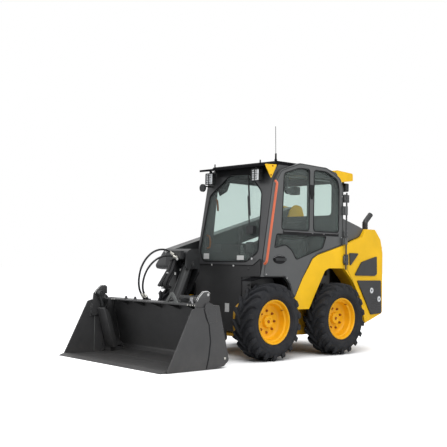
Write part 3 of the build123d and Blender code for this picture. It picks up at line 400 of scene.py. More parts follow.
finish_of_slot = {
    "tyre": "tyre", "wheel_yellow": "wheel", "body_yellow": "yellow", "dark_grey": "charcoal",
    "black_paint": "black", "bucket_grey": "bucket", "glass": "glass", "black_plastic": "plastic",
    "seat_fabric": "fabric", "rod_steel": "chrome", "steel": "steel", "rail_orange": "orange",
    "hose_rubber": "hose", "lamp_lens": "lens", "mesh_black": "black",
}
slot_of_node = {row["node"]: row["material_slot"] for row in frame["record"]["subparts"]}
for node_name, thing in nodes.items():
    for holder in thing.material_slots:
        holder.material = material[finish_of_slot[slot_of_node[node_name]]]
# The chassis frame, axle tubes and rear arch liners take the yellow darkened as painted shade.
finish_of_node = {
    "door_glass": "door_glass", "front_panel": "panel", "tail_covers": "cover", "roof_cap": "roof",
    "sun_visor": "roof", "front_arch_liners": "roof", "chassis_frame": "yellow_in_painted_shade",
    "axle_tubes": "yellow_in_painted_shade", "rear_arch_liners": "yellow_in_painted_shade", "coupling_block": "black",
    "engine_block": "panel", "clam_rods": "black", "cab_frame": "frame", "door_post": "frame"}
for node_name, finish_name in finish_of_node.items():
    for holder in nodes[node_name].material_slots:
        holder.material = material[finish_name]

# ------------------------------------------------------------------ floor, backdrop and light
floor_mesh = bpy.data.meshes.new("floor")
reach = 60.0
corners = [(-reach, -reach, 0), (reach, -reach, 0), (reach, reach, 0), (-reach, reach, 0)]
floor_mesh.from_pydata(corners, [], [(0, 1, 2, 3)])
floor = bpy.data.objects.new("floor", floor_mesh)
scene.collection.objects.link(floor)
floor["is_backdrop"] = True
g = Graph(bpy.data.materials.new("floor_white_with_painted_shadow"))
base = g.add("ShaderNodeBsdfDiffuse", Color=(0.8, 0.8, 0.8, 1))
# Ambient occlusion dims the floor's white lift close to the machine: a painted shadow, on top of the shadow
# the lamps cast.
painted_floor_shadow = g.add("ShaderNodeAmbientOcclusion", {"samples": 16}, Distance=0.75).outputs["AO"]
lift = g.add("ShaderNodeEmission", Color=(1, 1, 1, 1), Strength=g.ramp(painted_floor_shadow, 0.25, 0.92, 0.0, 0.82))
both = g.add("ShaderNodeAddShader")
g.tree.links.new(base.outputs[0], both.inputs[0])
g.tree.links.new(lift.outputs[0], both.inputs[1])
seen = g.add("ShaderNodeLightPath").outputs["Is Camera Ray"]
floor_mesh.materials.append(g.finish(g.blend(seen, base.outputs[0], both.outputs[0])))

sky = Graph(bpy.data.worlds.new("studio"), "ShaderNodeOutputWorld")
plain = sky.add("ShaderNodeBackground", Color=(0.95, 0.97, 1.0, 1), Strength=0.45)
white = sky.add("ShaderNodeBackground", Color=(1, 1, 1, 1), Strength=1.0)
rays = sky.add("ShaderNodeLightPath").outputs
seen_by = rays["Is Camera Ray"]
for kind in ("Is Glossy Ray", "Is Transmission Ray"):
    seen_by = sky.combine("MAXIMUM", seen_by, rays[kind])
scene.world = sky.finish(sky.blend(seen_by, plain.outputs[0], white.outputs[0]))


def area_light(name, place, target, size, power):
    """Rectangular lamp turned towards a place; power in watts."""
    light = bpy.data.lights.new(name, "AREA")
    light.shape = "RECTANGLE"
    light.size, light.size_y = size
    light.energy = power
    thing = bpy.data.objects.new(name, light)
    thing.location = place
    thing.rotation_mode = "QUATERNION"
    thing.rotation_quaternion = (target - place).to_track_quat("-Z", "Y")
    scene.collection.objects.link(thing)


aim = at(0, 0.4, 0.9)
area_light("key", at(4.5, -3.0, 6.5), aim, (5, 5), 330)
area_light("side", at(7.0, 2.5, 3.0), aim, (5, 4), 118)
area_light("front", at(-3.5, -7.0, 3.2), aim, (5, 4), 120)
area_light("top", at(0, 1.0, 7.5), aim, (7, 7), 150)


# ------------------------------------------------------------------ mesh helpers
least_radius = 0.0002


def circle(centre, side, other, radius, steps):
    """Places around a circle in the plane of two directions."""
    turns = [2 * math.pi * k / steps for k in range(steps)]
    return [centre + radius * (side * math.cos(t) + other * math.sin(t)) for t in turns]


class Shape:
    """Collects closed forms into one mesh."""

    def __init__(self):
        self.mesh = bmesh.new()

    def box(self, low, high, bevel=0.0, steps=2):
        """Box between two corners."""
        low, high = Vector(low), Vector(high)
        return self.turned_box((low + high) / 2, high - low, Matrix.Identity(3), bevel, steps)

    def soften(self, made, bevel, steps):
        """Bevel every edge of the points just made."""
        edges = list({edge for vert in made for edge in vert.link_edges})
        bmesh.ops.bevel(self.mesh, geom=edges, offset=bevel, segments=steps, affect="EDGES", profile=0.5)

    def turned_box(self, centre, size, turn, bevel=0.0, steps=2):
        """Box of a size, turned by a matrix about its centre."""
        made = bmesh.ops.create_cube(self.mesh, size=1.0)["verts"]
        for vert in made:
            vert.co = turn @ Vector([vert.co[i] * size[i] for i in range(3)]) + Vector(centre)
        if bevel:
            self.soften(made, bevel, steps)
        return self

    def rings(self, loops, closed_ends=True, joined=False):
        """Skin over equal loops of points."""
        rows = [[self.mesh.verts.new(p) for p in loop] for loop in loops]
        pairs = list(zip(rows, rows[1:]))
        if joined:
            pairs.append((rows[-1], rows[0]))
        count = len(rows[0])
        for first, second in pairs:
            for k in range(count):
                n = (k + 1) % count
                self.mesh.faces.new((first[k], first[n], second[n], second[k]))
        if closed_ends and not joined:
            self.mesh.faces.new(rows[0][::-1])
            self.mesh.faces.new(rows[-1])
        return self

    def lathe(self, profile, centre, axis, steps=32, ring=False):
        """Turned form: profile rows of (along the axis, radius); a ring joins its last row to its first."""
        axis = Vector(axis).normalized()
        side = axis.orthogonal().normalized()
        other = axis.cross(side)
        loops = [
            circle(Vector(centre) + axis * along, side, other, max(radius, least_radius), steps)
            for along, radius in profile]
        return self.rings(loops, not ring, ring)

    def rod(self, start, end, radius, steps=16, chamfer=0.0):
        """Round bar between two places, with chamfered ends if asked."""
        start, end = Vector(start), Vector(end)
        run = (end - start).length
        rows = [(0, radius), (run, radius)]
        if chamfer:
            rows = [(0, radius - chamfer), (chamfer, radius), (run - chamfer, radius), (run, radius - chamfer)]
        return self.lathe(rows, start, end - start, steps)

    def bolt(self, place, axis, size):
        """Hexagon head on a washer; size is the radius to the head's corners."""
        axis = Vector(axis).normalized()
        self.lathe([(0, size * 1.45), (size * 0.18, size * 1.45), (size * 0.22, size * 1.38)], place, axis, 20)
        self.lathe([(size * 0.2, size), (size * 0.75, size), (size * 0.9, size * 0.86)], place, axis, 6)
        return self

    def prism(self, points, normal, depth, bevel=0.0, steps=2):
        """Flat outline of places pushed along a normal."""
        push = Vector(normal).normalized() * depth
        low = [self.mesh.verts.new(Vector(p)) for p in points]
        high = [self.mesh.verts.new(Vector(p) + push) for p in points]
        self.mesh.faces.new(low[::-1])
        self.mesh.faces.new(high)
        count = len(low)
        for k in range(count):
            n = (k + 1) % count
            self.mesh.faces.new((low[k], low[n], high[n], high[k]))
        if bevel:
            self.soften(low + high, bevel, steps)
        return self

    def tube(self, points, radius, steps=10, closed=False):
        """Round tube through places, kept level at its turns."""
        points = [Vector(p) for p in points]
        count = len(points)
        loops = []
        side = None
        for k, point in enumerate(points):
            before = points[k - 1] if k or closed else point
            after = points[(k + 1) % count] if k < count - 1 or closed else point
            along = (after - before).normalized()
            if side is None:
                side = along.orthogonal().normalized()
            side = (side - along * side.dot(along)).normalized()
            loops.append(circle(point, side, along.cross(side), radius, steps))
        return self.rings(loops, not closed, closed)

    def done(self, name, body, finish, slot, sharp=35.0):
        """The piece itself, riding on its body."""
        bmesh.ops.recalc_face_normals(self.mesh, faces=self.mesh.faces)
        for face in self.mesh.faces:
            face.smooth = True
        for edge in self.mesh.edges:
            if len(edge.link_faces) == 2:
                edge.smooth = edge.calc_face_angle(0) < math.radians(sharp)
        mesh = bpy.data.meshes.new(name)
        self.mesh.to_mesh(mesh)
        self.mesh.free()
        mesh.materials.append(material[finish])
        thing = bpy.data.objects.new(name, mesh)
        scene.collection.objects.link(thing)
        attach(thing, body)
        return thing


def rounded(points, radius, steps=5):
    """A closed outline of 2-D places with its corners rounded."""
    out = []
    count = len(points)
    for k in range(count):
        here, back, front = Vector(points[k]), Vector(points[k - 1]), Vector(points[(k + 1) % count])
        a, b = (back - here), (front - here)
        cut = min(radius, a.length * 0.45, b.length * 0.45)
        start, end = here + a.normalized() * cut, here + b.normalized() * cut
        for j in range(steps + 1):
            t = j / steps
            out.append(start * (1 - t) ** 2 + here * 2 * t * (1 - t) + end * t ** 2)
    return out


# ------------------------------------------------------------------ tyres
lug_count = 18
lug_height = 0.027
wheel_steps = 72
wheel_places = {
    "fl": ("front_left", 1), "fr": ("front_right", -1), "rl": ("rear_left", 1), "rr": ("rear_right", -1)}


def carcass_rows():
    """Half section of the casing from the bead to the crown: across, radius."""
    half, crown = tyre_width / 2, tyre_radius - lug_height
    return [
        (half - 0.045, 0.2095), (half - 0.037, 0.213), (half - 0.031, 0.226), (half - 0.026, 0.236),
        (half - 0.012, 0.243), (half - 0.006, 0.252), (half - 0.001, 0.272), (half, 0.292),
        (half - 0.004, 0.312), (half - 0.011, 0.328), (half - 0.022, 0.341), (half - 0.040, crown - 0.004),
        (half - 0.080, crown), (half - 0.12, crown + 0.001)]


def tyre_piece(key):
    """A whole tyre, in place of the plain one."""
    body_name, side = wheel_places[key]
    centre = middle("tyre_" + key)
    centre.z = axle_z
    half, crown = tyre_width / 2, tyre_radius - lug_height
    shape = Shape()
    rows = carcass_rows()
    inner = [(-x, r) for x, r in reversed(rows)]
    shape.lathe(rows + inner, centre, (side, 0, 0), wheel_steps, ring=True)
    # tread bars: straight across the shoulder, swept back towards the middle; each row is the place
    # across, the sweep, how far the top is below the tyre's radius, the foot's radius, half the width
    stations = (
        (0.006, 0.000, 0.0, crown - 0.004, 0.019), (0.035, 0.050, 0.0, crown - 0.004, 0.020),
        (0.070, 0.100, 0.001, crown - 0.004, 0.021), (0.098, 0.128, 0.003, crown - 0.008, 0.023),
        (0.118, 0.138, 0.010, crown - 0.016, 0.024), (0.131, 0.141, 0.026, 0.316, 0.022))
    flare = 0.006
    for way in (1, -1):
        for k in range(lug_count):
            turn = 2 * math.pi * (k + (0.5 if way > 0 else 0.0)) / lug_count
            loops = []
            for across, swept, drop, base, wide in stations:
                top = tyre_radius - drop
                loop = []
                for offset, radius in (
                        (-wide - flare, base), (-wide - 0.002, top - 0.006), (-wide + 0.003, top),
                        (wide - 0.003, top), (wide + 0.002, top - 0.006), (wide + flare, base)):
                    angle = turn + (offset - swept) / tyre_radius
                    loop.append(centre + Vector((
                        way * min(across, half - 0.0005), radius * math.cos(angle), radius * math.sin(angle))))
                loops.append(loop)
            shape.rings(loops)
    # two rings on each wall
    turns = [2 * math.pi * k / wheel_steps for k in range(wheel_steps)]
    for across, radius, thick in ((half - 0.0022, 0.300, 0.0022), (half - 0.0035, 0.262, 0.0024)):
        for way in (1, -1):
            ring = [centre + Vector((way * across, radius * math.cos(t), radius * math.sin(t))) for t in turns]
            shape.tube(ring, thick, 6, closed=True)
    piece = shape.done("tread_" + key, "wheel_" + body_name, "tyre", "tyre", 40)
    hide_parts("tyre_" + key)


for key in wheel_places:
    tyre_piece(key)


# ------------------------------------------------------------------ wheels
wheel_rows = [
    (508, 0.2), (508, 66), (596, 72), (603, 120), (603, 172), (560, 184), (516, 196), (505, 204), (504, 214),
    (506, 222), (513, 221), (519, 211), (540, 209), (700, 209), (720, 212), (726, 221), (733, 222), (738, 219),
    (739, 213), (735, 206), (722, 201), (704, 198), (693, 182), (640, 178), (629, 172), (621, 160), (619, 140),
    (624, 116), (619, 92), (625, 68), (632, 62), (652, 58), (657, 52), (657, 38), (652, 34), (651, 0.2)]

nut_count, nut_circle, disc_face = 8, 0.108, 0.619
valve_turn, valve_circle, valve_face = math.radians(38), 0.181, 0.690
rear_turn = math.radians(17)


def wheel_piece(key):
    """A wheel with its nuts, hub cap and valve, in place of the plain one."""
    body_name, side = wheel_places[key]
    hub = Vector((0, middle("wheel_" + key).y, axle_z))
    out = Vector((side, 0, 0))
    phase = rear_turn if key[0] == "r" else 0.0
    rim = Shape().lathe([(x / 1000, r / 1000) for x, r in wheel_rows], hub, out, wheel_steps)
    rim = rim.done("rim_" + key, "wheel_" + body_name, "wheel", "wheel_yellow", 30)
    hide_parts("wheel_" + key)
    nuts, valve = Shape(), Shape()
    for k in range(nut_count):
        turn = phase + 2 * math.pi * k / nut_count
        spot = hub + out * disc_face + Vector((0, math.cos(turn), math.sin(turn))) * nut_circle
        nuts.lathe([(0, 0.015), (0.003, 0.015), (0.005, 0.013)], spot, out, 16)
        nuts.lathe([(0.004, 0.0125), (0.015, 0.0125), (0.018, 0.009)], spot, out, 6)
        nuts.lathe([(0.016, 0.0065), (0.022, 0.0065), (0.024, 0.004)], spot, out, 10)
    turn = phase + valve_turn
    foot = hub + out * valve_face + Vector((0, math.cos(turn), math.sin(turn))) * valve_circle
    valve.rod(foot - out * 0.01, foot + out * 0.026, 0.0045, 8, 0.001)
    nuts.lathe([(0, 0.017), (0.006, 0.017), (0.009, 0.013)], hub + out * 0.650, out, 6)
    nuts.done("nuts_" + key, "wheel_" + body_name, "nut", "wheel_yellow", 30)
    valve.done("valve_" + key, "wheel_" + body_name, "nut", "steel", 30)


for key in wheel_places:
    wheel_piece(key)


# ------------------------------------------------------------------ hoses with their ends
def hose_end(name, body, first, second, taper):
    """Hexagon, ferrule and tapered relief at a hose's end; taper is its last two rows."""
    start = mm(*first)
    way = (mm(*second) - start).normalized()
    rows = [(0.000, 0.0165), (0.012, 0.0165), (0.014, 0.0145), (0.022, 0.0145), (0.024, 0.0135), *taper]
    relief = Shape().lathe(rows, start, way, 24)
    relief.lathe([(0.0, 0.020), (0.009, 0.020), (0.010, 0.018)], start, way, 6)
    return relief.done(name, body, "zinc", "steel", 25)


for name, (thing, line) in hoses.items():
    route = hose_routes[name]
    thing.data.materials.clear()
    thing.data.materials.append(material["hose"])
    first_end = hose_end("hose_end_top_" + name, "lift_arm", route[0], route[1],
                         ((0.052, 0.0112), (0.054, 0.0101)))
    second_end = hose_end("hose_end_low_" + name, "coupler", route[-1], route[-2],
                          ((0.048, 0.0112), (0.050, 0.0101)))
    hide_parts("hose_" + name)
    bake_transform(thing)

# ------------------------------------------------------------------ bucket, coupler and head
bucket_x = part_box("bucket_back")[1].x * 1000
clam_x, tilt_x = 768, -150
seam = [(-1016, 548), (-990, 463), (-953, 400), (-932, 250), (-949, 110), (-977, 4)]
strip = Shape()
for way in (1, -1):
    back = [mm(way * bucket_x, y + 9, z) for y, z in seam]
    front = [mm(way * bucket_x, y - 6, z) for y, z in reversed(seam)]
    strip.prism(back + front, (way, 0, 0), 0.0006)
strip.done("bucket_seam", "coupler", "seal", "black_paint")
pads = Shape()
for way in (1, -1):
    spot = at_x(way * bucket_x, ((-969, 543), (-872, 540), (-857, 423), (-941, 417)))
    pads.prism(spot, (way, 0, 0), 0.0008)
pads.done("bucket_plates", "coupler", "bucket", "bucket_grey")
marks = Shape()
for way in (1, -1):
    marks.lathe([(0, 0.011), (0.0008, 0.010)], mm(way * bucket_x, -750, 89), (way, 0, 0), 14)
for x in (-600, -560, 600, 640, 672, 704):
    marks.bolt(mm(x, -1010, 566), (0, -1, 0), 0.0042)
marks.done("bucket_bolts", "coupler", "zinc", "bucket_grey")
knobs = Shape()
for x, y, z in ((-507, -900, 572), (-352, -900, 572), (507, -900, 572), (352, -900, 572)):
    knobs.lathe([(0, 0.018), (0.006, 0.018), (0.008, 0.012), (0.020, 0.012), (0.026, 0.008)], mm(x, y, z),
                (0, 0, 1), 20)
for way in (1, -1):
    knobs.lathe([(0, 0.034), (0.004, 0.034), (0.006, 0.030)], mm(way * 790, -956, 560), (-way, 0, 0), 24)
knobs.done("bucket_knobs", "coupler", "black", "steel")
beads = Shape()
for way in (1, -1):
    inner = way * (bucket_x - 19)
    beads.tube(at_x(inner, (
        (-850, 556), (-800, 370), (-745, 160), (-770, 66), (-960, 27))), 0.006, 8)
beads.done("bucket_welds", "coupler", "bucket", "bucket_grey")
ribs = Shape()
for x in (-560, -280, 0, 280, 560):
    ribs.prism(at_x(x - 6, ((-1004, 560), (-850, 560), (-836, 505))), (1, 0, 0), 0.012)
ribs.done("bucket_gussets", "coupler", "bucket", "bucket_grey")

# collars on the jaw's cylinders
collars = Shape()
for way in (1, -1):
    foot, head = mm(way * clam_x, -900, 150), mm(way * clam_x, -1040, 618)
    line_way = (head - foot).normalized()
    gland = foot + line_way * 0.330
    collars.lathe([(0, 0.026), (0.002, 0.031), (0.026, 0.031), (0.029, 0.026)], gland - line_way * 0.03,
                  line_way, 28)
    for side in (1, -1):
        collars.lathe([(0, 0.021), (0.006, 0.021), (0.008, 0.017)], mm(way * clam_x + side * 44, -900, 150),
                      (side, 0, 0), 20)
collars.done("clam_collars", "clam_barrels", "black", "black_paint")

# guards in front of the jaw's cylinders, and the light edge inside each jaw end
guards, edges = Shape(), Shape()
for way in (1, -1):
    guards.prism(at_x(way * 662, (
        (-925, 66), (-1046, 468), (-1054, 466), (-933, 64))), (way, 0, 0), 0.138, 0.002)
    guards.prism(at_x(way * 662, (
        (-880, 66), (-985, 420), (-1046, 468), (-928, 66))), (way, 0, 0), 0.006, 0.001)
    guards.tube([mm(way * x, -1046, 462) for x in (664, 700, 740, 796)], 0.010, 8)
    edges.tube([mm(way * 817, -1068, z) for z in (20, 140, 280, 405)], 0.0045, 8)
guards.done("jaw_cylinder_guards", "coupler", "bucket", "bucket_grey")
edges.done("jaw_end_strips", "bucket_jaw", "grey_plastic", "bucket_grey")

# ear plates with light edges on the jaw, and the block and bracket on the coupler
ears, light_edges = Shape(), Shape()
ear = [(-1082, 612), (-1060, 650), (-1008, 695), (-958, 698), (-934, 682), (-932, 612)]
for way in (1, -1):
    for x in (800, 814):
        ears.prism(at_x(way * x, ear), (way, 0, 0), 0.006, 0.0015)
    light_edges.tube(at_x(way * 820.5, ear[:5]), 0.0032, 8)
    light_edges.tube([mm(way * 803, y, z + 1) for y, z in ear[:5]], 0.0026, 8)
    light_edges.bolt(mm(way * 820, -954, 668), (way, 0, 0), 0.009)
ears.done("jaw_ear_plates", "bucket_jaw", "bucket", "bucket_grey")
light_edges.done("jaw_ear_edges", "bucket_jaw", "plate", "steel")
top_block = Shape()
top_block.box(mm(205, -736, 596), mm(420, -640, 622), 0.008)
top_block.box(mm(110, -705, 560), mm(330, -664, 634), 0.008)
top_block.rod(mm(352, -684, 606), mm(352, -684, 640), 0.012, 14, 0.002)
top_block.done("coupler_top_block", "coupler", "black", "black_paint")
bracket = Shape()
bracket.prism([mm(x, -1000, z) for x, z in (
    (250, 572), (338, 672), (370, 672), (450, 572), (412, 572), (354, 650), (292, 572))],
    (0, 1, 0), 0.014, 0.002)
bracket.box(mm(246, -1008, 570), mm(454, -978, 580), 0.003)
bracket.rod(mm(354, -1000, 640), mm(354, -972, 640), 0.008, 12, 0.001)
bracket.done("coupler_bracket", "coupler", "grey_plastic", "bucket_grey")

# tilt cylinder pins, and pipes with clamps on the arm's head
for name, body, y, z in (("tilt_foot_pins", "coupler", -610, 403), ("tilt_head_pins", "lift_arm", -378, 927)):
    pins = Shape()
    for way in (1, -1):
        pins.lathe([(0, 0.030), (0.006, 0.030), (0.009, 0.025)], mm(tilt_x + way * 66, y, z), (way, 0, 0), 28)
        pins.bolt(mm(tilt_x + way * 74, y, z), (way, 0, 0), 0.010)
    pins.done(name, body, "steel", "steel", 30)
bundle = Shape()
for x, shift in ((-206, 0), (-232, 16), (-258, 2), (-284, 20), (-222, 46), (-262, 50), (-296, 40)):
    bundle.tube([mm(x, -494, 985 - shift), mm(x - 3, -520 + shift * 0.6, 930 - shift * 0.4),
                 mm(x - 6, -545 + shift, 868 - shift * 0.3), mm(x - 10, -590 + shift, 806),
                 mm(x - 12, -614 + shift, 762), mm(x - 12, -630 + shift, 734), mm(x - 11, -630 + shift, 712),
                 mm(x - 10, -614 + shift, 698), mm(x - 10, -590 + shift, 694)], 0.0165, 10)
bundle.done("head_pipes", "lift_arm", "hose", "hose_rubber")
sleeve = Shape()
for n in range(14):
    t = n / 13
    sleeve.lathe([(0, 0.015), (0.004, 0.0172), (0.012, 0.0172), (0.016, 0.015)],
                 mm(-284 - 10 * t, -540 - 100 * t, 868 - 150 * t), (0, -0.55, -0.83), 14)
sleeve.done("head_sleeves", "lift_arm", "black", "hose_rubber")
clamps = Shape()
clamps.box(mm(-250, -588, 834), mm(-230, -515, 848), 0.003)
clamps.box(mm(-262, -640, 678), mm(-232, -618, 698), 0.003)
for x, y, z in ((-205, -507, 835), (-205, -436, 873), (-330, -552, 700)):
    clamps.box(mm(x - 5, y - 9, z - 14), mm(x + 5, y + 9, z + 14), 0.003)
for x, z in ((-318, 1062), (-286, 1070), (-128, 985), (-178, 1012)):
    clamps.bolt(mm(x, -546, z), (0, -1, 0), 0.010)
clamps.lathe([(0, 0.028), (0.005, 0.028), (0.006, 0.020), (0.004, 0.018)], mm(-62, -383, 932), (1, 0, 0), 28)
clamps.done("head_clamps", "lift_arm", "plate", "steel")

# ------------------------------------------------------------------ front of the cab
def lean(z):
    """How far back the leaning front is at a height."""
    return -75 + (z - 940) / 940 * 159


screen = [
    (-346, 1088), (-276, 970), (390, 970), (540, 1071), (479, 1684), (270, 1882), (-36, 1890), (-316, 1680)]
seals = Shape()
seals.tube([mm(x, lean(z) + 1, z) for x, z in rounded(screen, 40)], 0.007, 8, closed=True)
seals.tube([mm(x, -88, z) for x, z in (
    (-378, 936), (-200, 936), (0, 936), (200, 936), (505, 936), (606, 1000))], 0.0045, 8)
seals.prism([mm(x, lean(z) + 34, z) for x, z in (
    (-283, 1793), (-240, 1822), (-61, 1822), (-90, 1720), (-200, 1673))], (0, 1, 0), 0.006, 0.002)
seals.done("windscreen_seal", "chassis", "seal", "black_plastic")
studs = Shape()
for x, z in ((-330, 1017), (-109, 932), (223, 929), (488, 1003)):
    studs.lathe([(0, 0.011), (0.003, 0.011), (0.006, 0.007)], mm(x, -87, z), (0, -1, 0), 18)
studs.done("panel_studs", "chassis", "plate", "steel")
plates = Shape()
plates.box(mm(105, -88.5, 451), mm(168, -86.6, 540), 0.0006, 1)
plates.box(mm(254, -73, 988), mm(356, -70, 1034), 0.001, 1)
plates.box(mm(-262, -73, 992), mm(-176, -70, 1052), 0.001, 1)
plates.done("blank_plates", "chassis", "plate", "steel")
panel = Shape()
for x in (-366, 440):
    for z in (300, 520, 740, 900):
        panel.bolt(mm(x, -87, z), (0, -1, 0), 0.007)
for x in (-230, 60, 330):
    panel.box(mm(x - 55, -92, 262), mm(x + 55, -86, 268), 0.002)
panel.done("front_panel_detail", "chassis", "black", "black_paint")

# lamps: guards and mounting feet
guard = Shape()
for x in (-271, 436):
    for n in range(4):
        z = 1822 + 24 * n
        guard.box(mm(x - 52, -20, z - 3), mm(x + 34 - 12 * (n % 2), -13, z + 3), 0.001)
    guard.box(mm(x - 8, -20, 1800), mm(x + 2, -14, 1915), 0.001)
    guard.box(mm(x - 14, 4, 1915), mm(x + 14, 28, 1942), 0.002)
    for side in (-1, 1):
        guard.bolt(mm(x + side * 62, 10, 1858), (side, 0, 0), 0.008)
guard.done("lamp_guards", "chassis", "plastic", "black_plastic")

# inside the cab
pilot = Shape()
pilot.lathe([(0, 0.020), (0.012, 0.024), (0.060, 0.027), (0.090, 0.022), (0.104, 0.010), (0.108, 0.002)],
            mm(0, 214, 1240), (0, 0.02, 1), 20)
pilot.rod(mm(0, 218, 1170), mm(0, 214, 1244), 0.009, 12)
pilot.box(mm(270, 30, 1060), mm(372, 92, 1176), 0.012)
pilot.rod(mm(316, 60, 1000), mm(316, 60, 1064), 0.014, 12)
pilot.box(mm(-30, 196, 1000), mm(60, 290, 1030), 0.010)
pilot.done("pilot_stick", "chassis", "plastic", "black_plastic")
bellows = Shape()
bellows.lathe([row for n in range(6) for row in (
    (0.022 * n, 0.030 - 0.003 * n), (0.022 * n + 0.011, 0.021 - 0.002 * n))],
              mm(20, 236, 1030), (-0.1, -0.08, 1), 20)
bellows.box(mm(200, 60, 996), mm(262, 120, 1044), 0.006)
bellows.done("stick_bellows", "chassis", "grey_plastic", "black_plastic")
handles = Shape()
handles.tube(at_x(-335, ((150, 1648), (172, 1640), (182, 1590), (187, 1524))), 0.011, 10)
handles.tube(at_x(-325, (
    (30, 1250), (60, 1240), (75, 1180), (66, 1120), (30, 1108))), 0.010, 10)
handles.done("cab_handles", "chassis", "nut", "rail_orange")
ceiling = Shape()
ceiling.box(mm(-330, 150, 1930), mm(560, 1040, 1942), 0.006)
for z, y0, y1 in ((1893, 290, 951), (1862, 250, 1000)):
    ceiling.box(mm(560, y0, z - 7), mm(572, y1, z + 7), 0.004)
ceiling.done("headliner", "chassis", "headliner", "seat_fabric")
mirror = Shape()
mirror.prism([mm(560, 343 + 70 * math.cos(a), 1744 + 66 * math.sin(a)) for a in (
    math.pi + math.pi * n / 14 for n in range(15))], (1, 0, 0), 0.03, 0.003)
mirror.box(mm(545, 330, 1740), mm(560, 356, 1930), 0.003)
mirror.box(mm(-360, 560, 1130), mm(-330, 1040, 1180), 0.008)
mirror.done("cab_mirror", "chassis", "plastic", "black_plastic")

# operator's seat: padded cushion and back, swollen by cloth with a little pressure
seat_low, seat_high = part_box("operator_seat")
seat_x = (seat_low.x + seat_high.x) / 2 * 1000
pad_steps, pad_growth = 12, 0.010


def pad(name, centre, size, turn, swell):
    """Padded form: rounded, remeshed and blown up a little, with its growth held to a limit."""
    made = Shape().turned_box(centre, size, turn, min(size) * 0.3, 4)
    made = made.done(name, "chassis", "fabric", "seat_fabric", 70)
    copy = bpy.data.objects.new(name + "_work", made.data.copy())
    copy.matrix_world = made.matrix_world.copy()
    scene.collection.objects.link(copy)
    remesh = copy.modifiers.new("remesh", "REMESH")
    remesh.mode, remesh.voxel_size = "VOXEL", 0.009
    bpy.context.view_layer.update()
    start = bpy.data.meshes.new_from_object(copy.evaluated_get(bpy.context.evaluated_depsgraph_get()))
    copy.modifiers.clear()
    copy.data = start
    rest = [v.co.copy() for v in start.vertices]
    cloth = copy.modifiers.new("cloth", "CLOTH")
    cloth.settings.use_pressure = True
    cloth.settings.uniform_pressure_force = 4.0
    cloth.settings.effector_weights.gravity = 0.0
    cloth.settings.quality = 5
    for number in range(1, pad_steps + 1):
        scene.frame_set(number)
    done = bpy.data.meshes.new_from_object(copy.evaluated_get(bpy.context.evaluated_depsgraph_get()))
    for vert, place in zip(done.vertices, rest):
        moved = vert.co - place
        if moved.length > swell:
            vert.co = place + moved.normalized() * swell
    for face in done.polygons:
        face.use_smooth = True
    done.materials.clear()
    done.materials.append(material["fabric"])
    bpy.data.objects.remove(copy)
    scene.frame_set(1)
    made.data = done
    return made


flat = Matrix.Rotation(math.radians(-4), 3, "X")
upright = Matrix.Rotation(math.radians(-7), 3, "X")
pads = []
for name, centre, size, turn in (
        ("seat_cushion", mm(seat_x, 715, 925), (0.42, 0.33, 0.095), flat),
        ("seat_back_low", mm(seat_x, 985, 1110), (0.40, 0.085, 0.25), upright),
        ("seat_back_high", mm(seat_x, 1012, 1345), (0.34, 0.080, 0.19), upright)):
    soft = pad(name, centre, size, turn, pad_growth)
    pads.append(soft)
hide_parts("operator_seat")
shell = Shape()
shell.prism(at_x(seat_x - 180, (
    (560, 860), (560, 885), (900, 872), (960, 900), (1060, 1450), (1072, 1450), (1040, 1060), (1010, 860))),
    (1, 0, 0), 0.36, 0.008)
for x in (-216, 216):
    shell.tube(at_x(seat_x + x, ((930, 1000), (760, 1010), (640, 1008))), 0.020, 10)
shell.done("seat_shell", "chassis", "plastic", "black_plastic")

# ------------------------------------------------------------------ door, cab corner and roof
door_x = 650
front_window = [(170, 1306), (196, 1880), (420, 1950), (585, 1952), (585, 1306)]
rear_window = [(655, 1306), (655, 1952), (850, 1950), (1035, 1880), (1068, 1790), (1068, 1306)]
lower_window = [(100, 1258), (70, 1116), (230, 1152), (325, 1100), (395, 1004), (806, 1130), (862, 1258)]
door_edge = [
    (-86, 826), (72, 1790), (150, 1905), (429, 2003), (860, 1992), (1085, 1902), (1142, 1790), (1142, 1174),
    (730, 1066), (648, 1019), (480, 799), (373, 614), (350, 640), (300, 760), (232, 826)]
door = Shape()
for outline, radius in ((front_window, 34), (rear_window, 40), (lower_window, 24)):
    door.tube(at_x(door_x, rounded(outline, radius)), 0.0055, 8, closed=True)
inset = [(y + (8 if y < 520 else -8), z - (6 if z > 1300 else -6)) for y, z in door_edge]
door.tube(at_x(649.5, rounded(inset, 24)), 0.003, 6, closed=True)
door.box(mm(649.5, 190, 1262), mm(653, 1066, 1296), 0.0012)
door.prism([mm(door_x, 146 + 95 * math.cos(a), 1000 + 45 * math.sin(a)) for a in (
    2 * math.pi * n / 28 for n in range(28))], (1, 0, 0), 0.0012)
door.prism(at_x(door_x, (
    (575, 1790), (660, 1790), (648, 1720), (632, 1640), (606, 1640), (590, 1720))), (1, 0, 0), 0.008, 0.002)
door.box(mm(642, 596, 1306), mm(648, 644, 1952), 0.002)
door.done("door_seals", "side_door", "seal", "black_plastic")
trim = Shape()
trim.tube([mm(653, y, 1290) for y in (200, 400, 640, 860, 1056)], 0.0014, 6)
trim.tube(at_x(651.5, ((62, 1012), (90, 1032), (146, 1040), (200, 1032))), 0.0014, 6)
for y, z in ((1120, 1700), (1120, 1560), (1120, 1250), (330, 660), (260, 812), (-40, 850), (640, 1280),
             (820, 1280)):
    trim.lathe([(0, 0.0075), (0.002, 0.0075), (0.004, 0.005)], mm(door_x, y, z), (1, 0, 0), 14)
trim.done("door_trim", "side_door", "steel", "steel")
hinge = Shape()
for z in (1015, 1290, 1685):
    hinge.box(mm(652, 1140, z - 42), mm(672, 1206, z + 42), 0.005)
    for y in (1152, 1190):
        for rise in (20, -20):
            hinge.bolt(mm(672, y, z + rise), (1, 0, 0), 0.008)
hinge.done("door_hinge_plates", "chassis", "charcoal", "dark_grey")
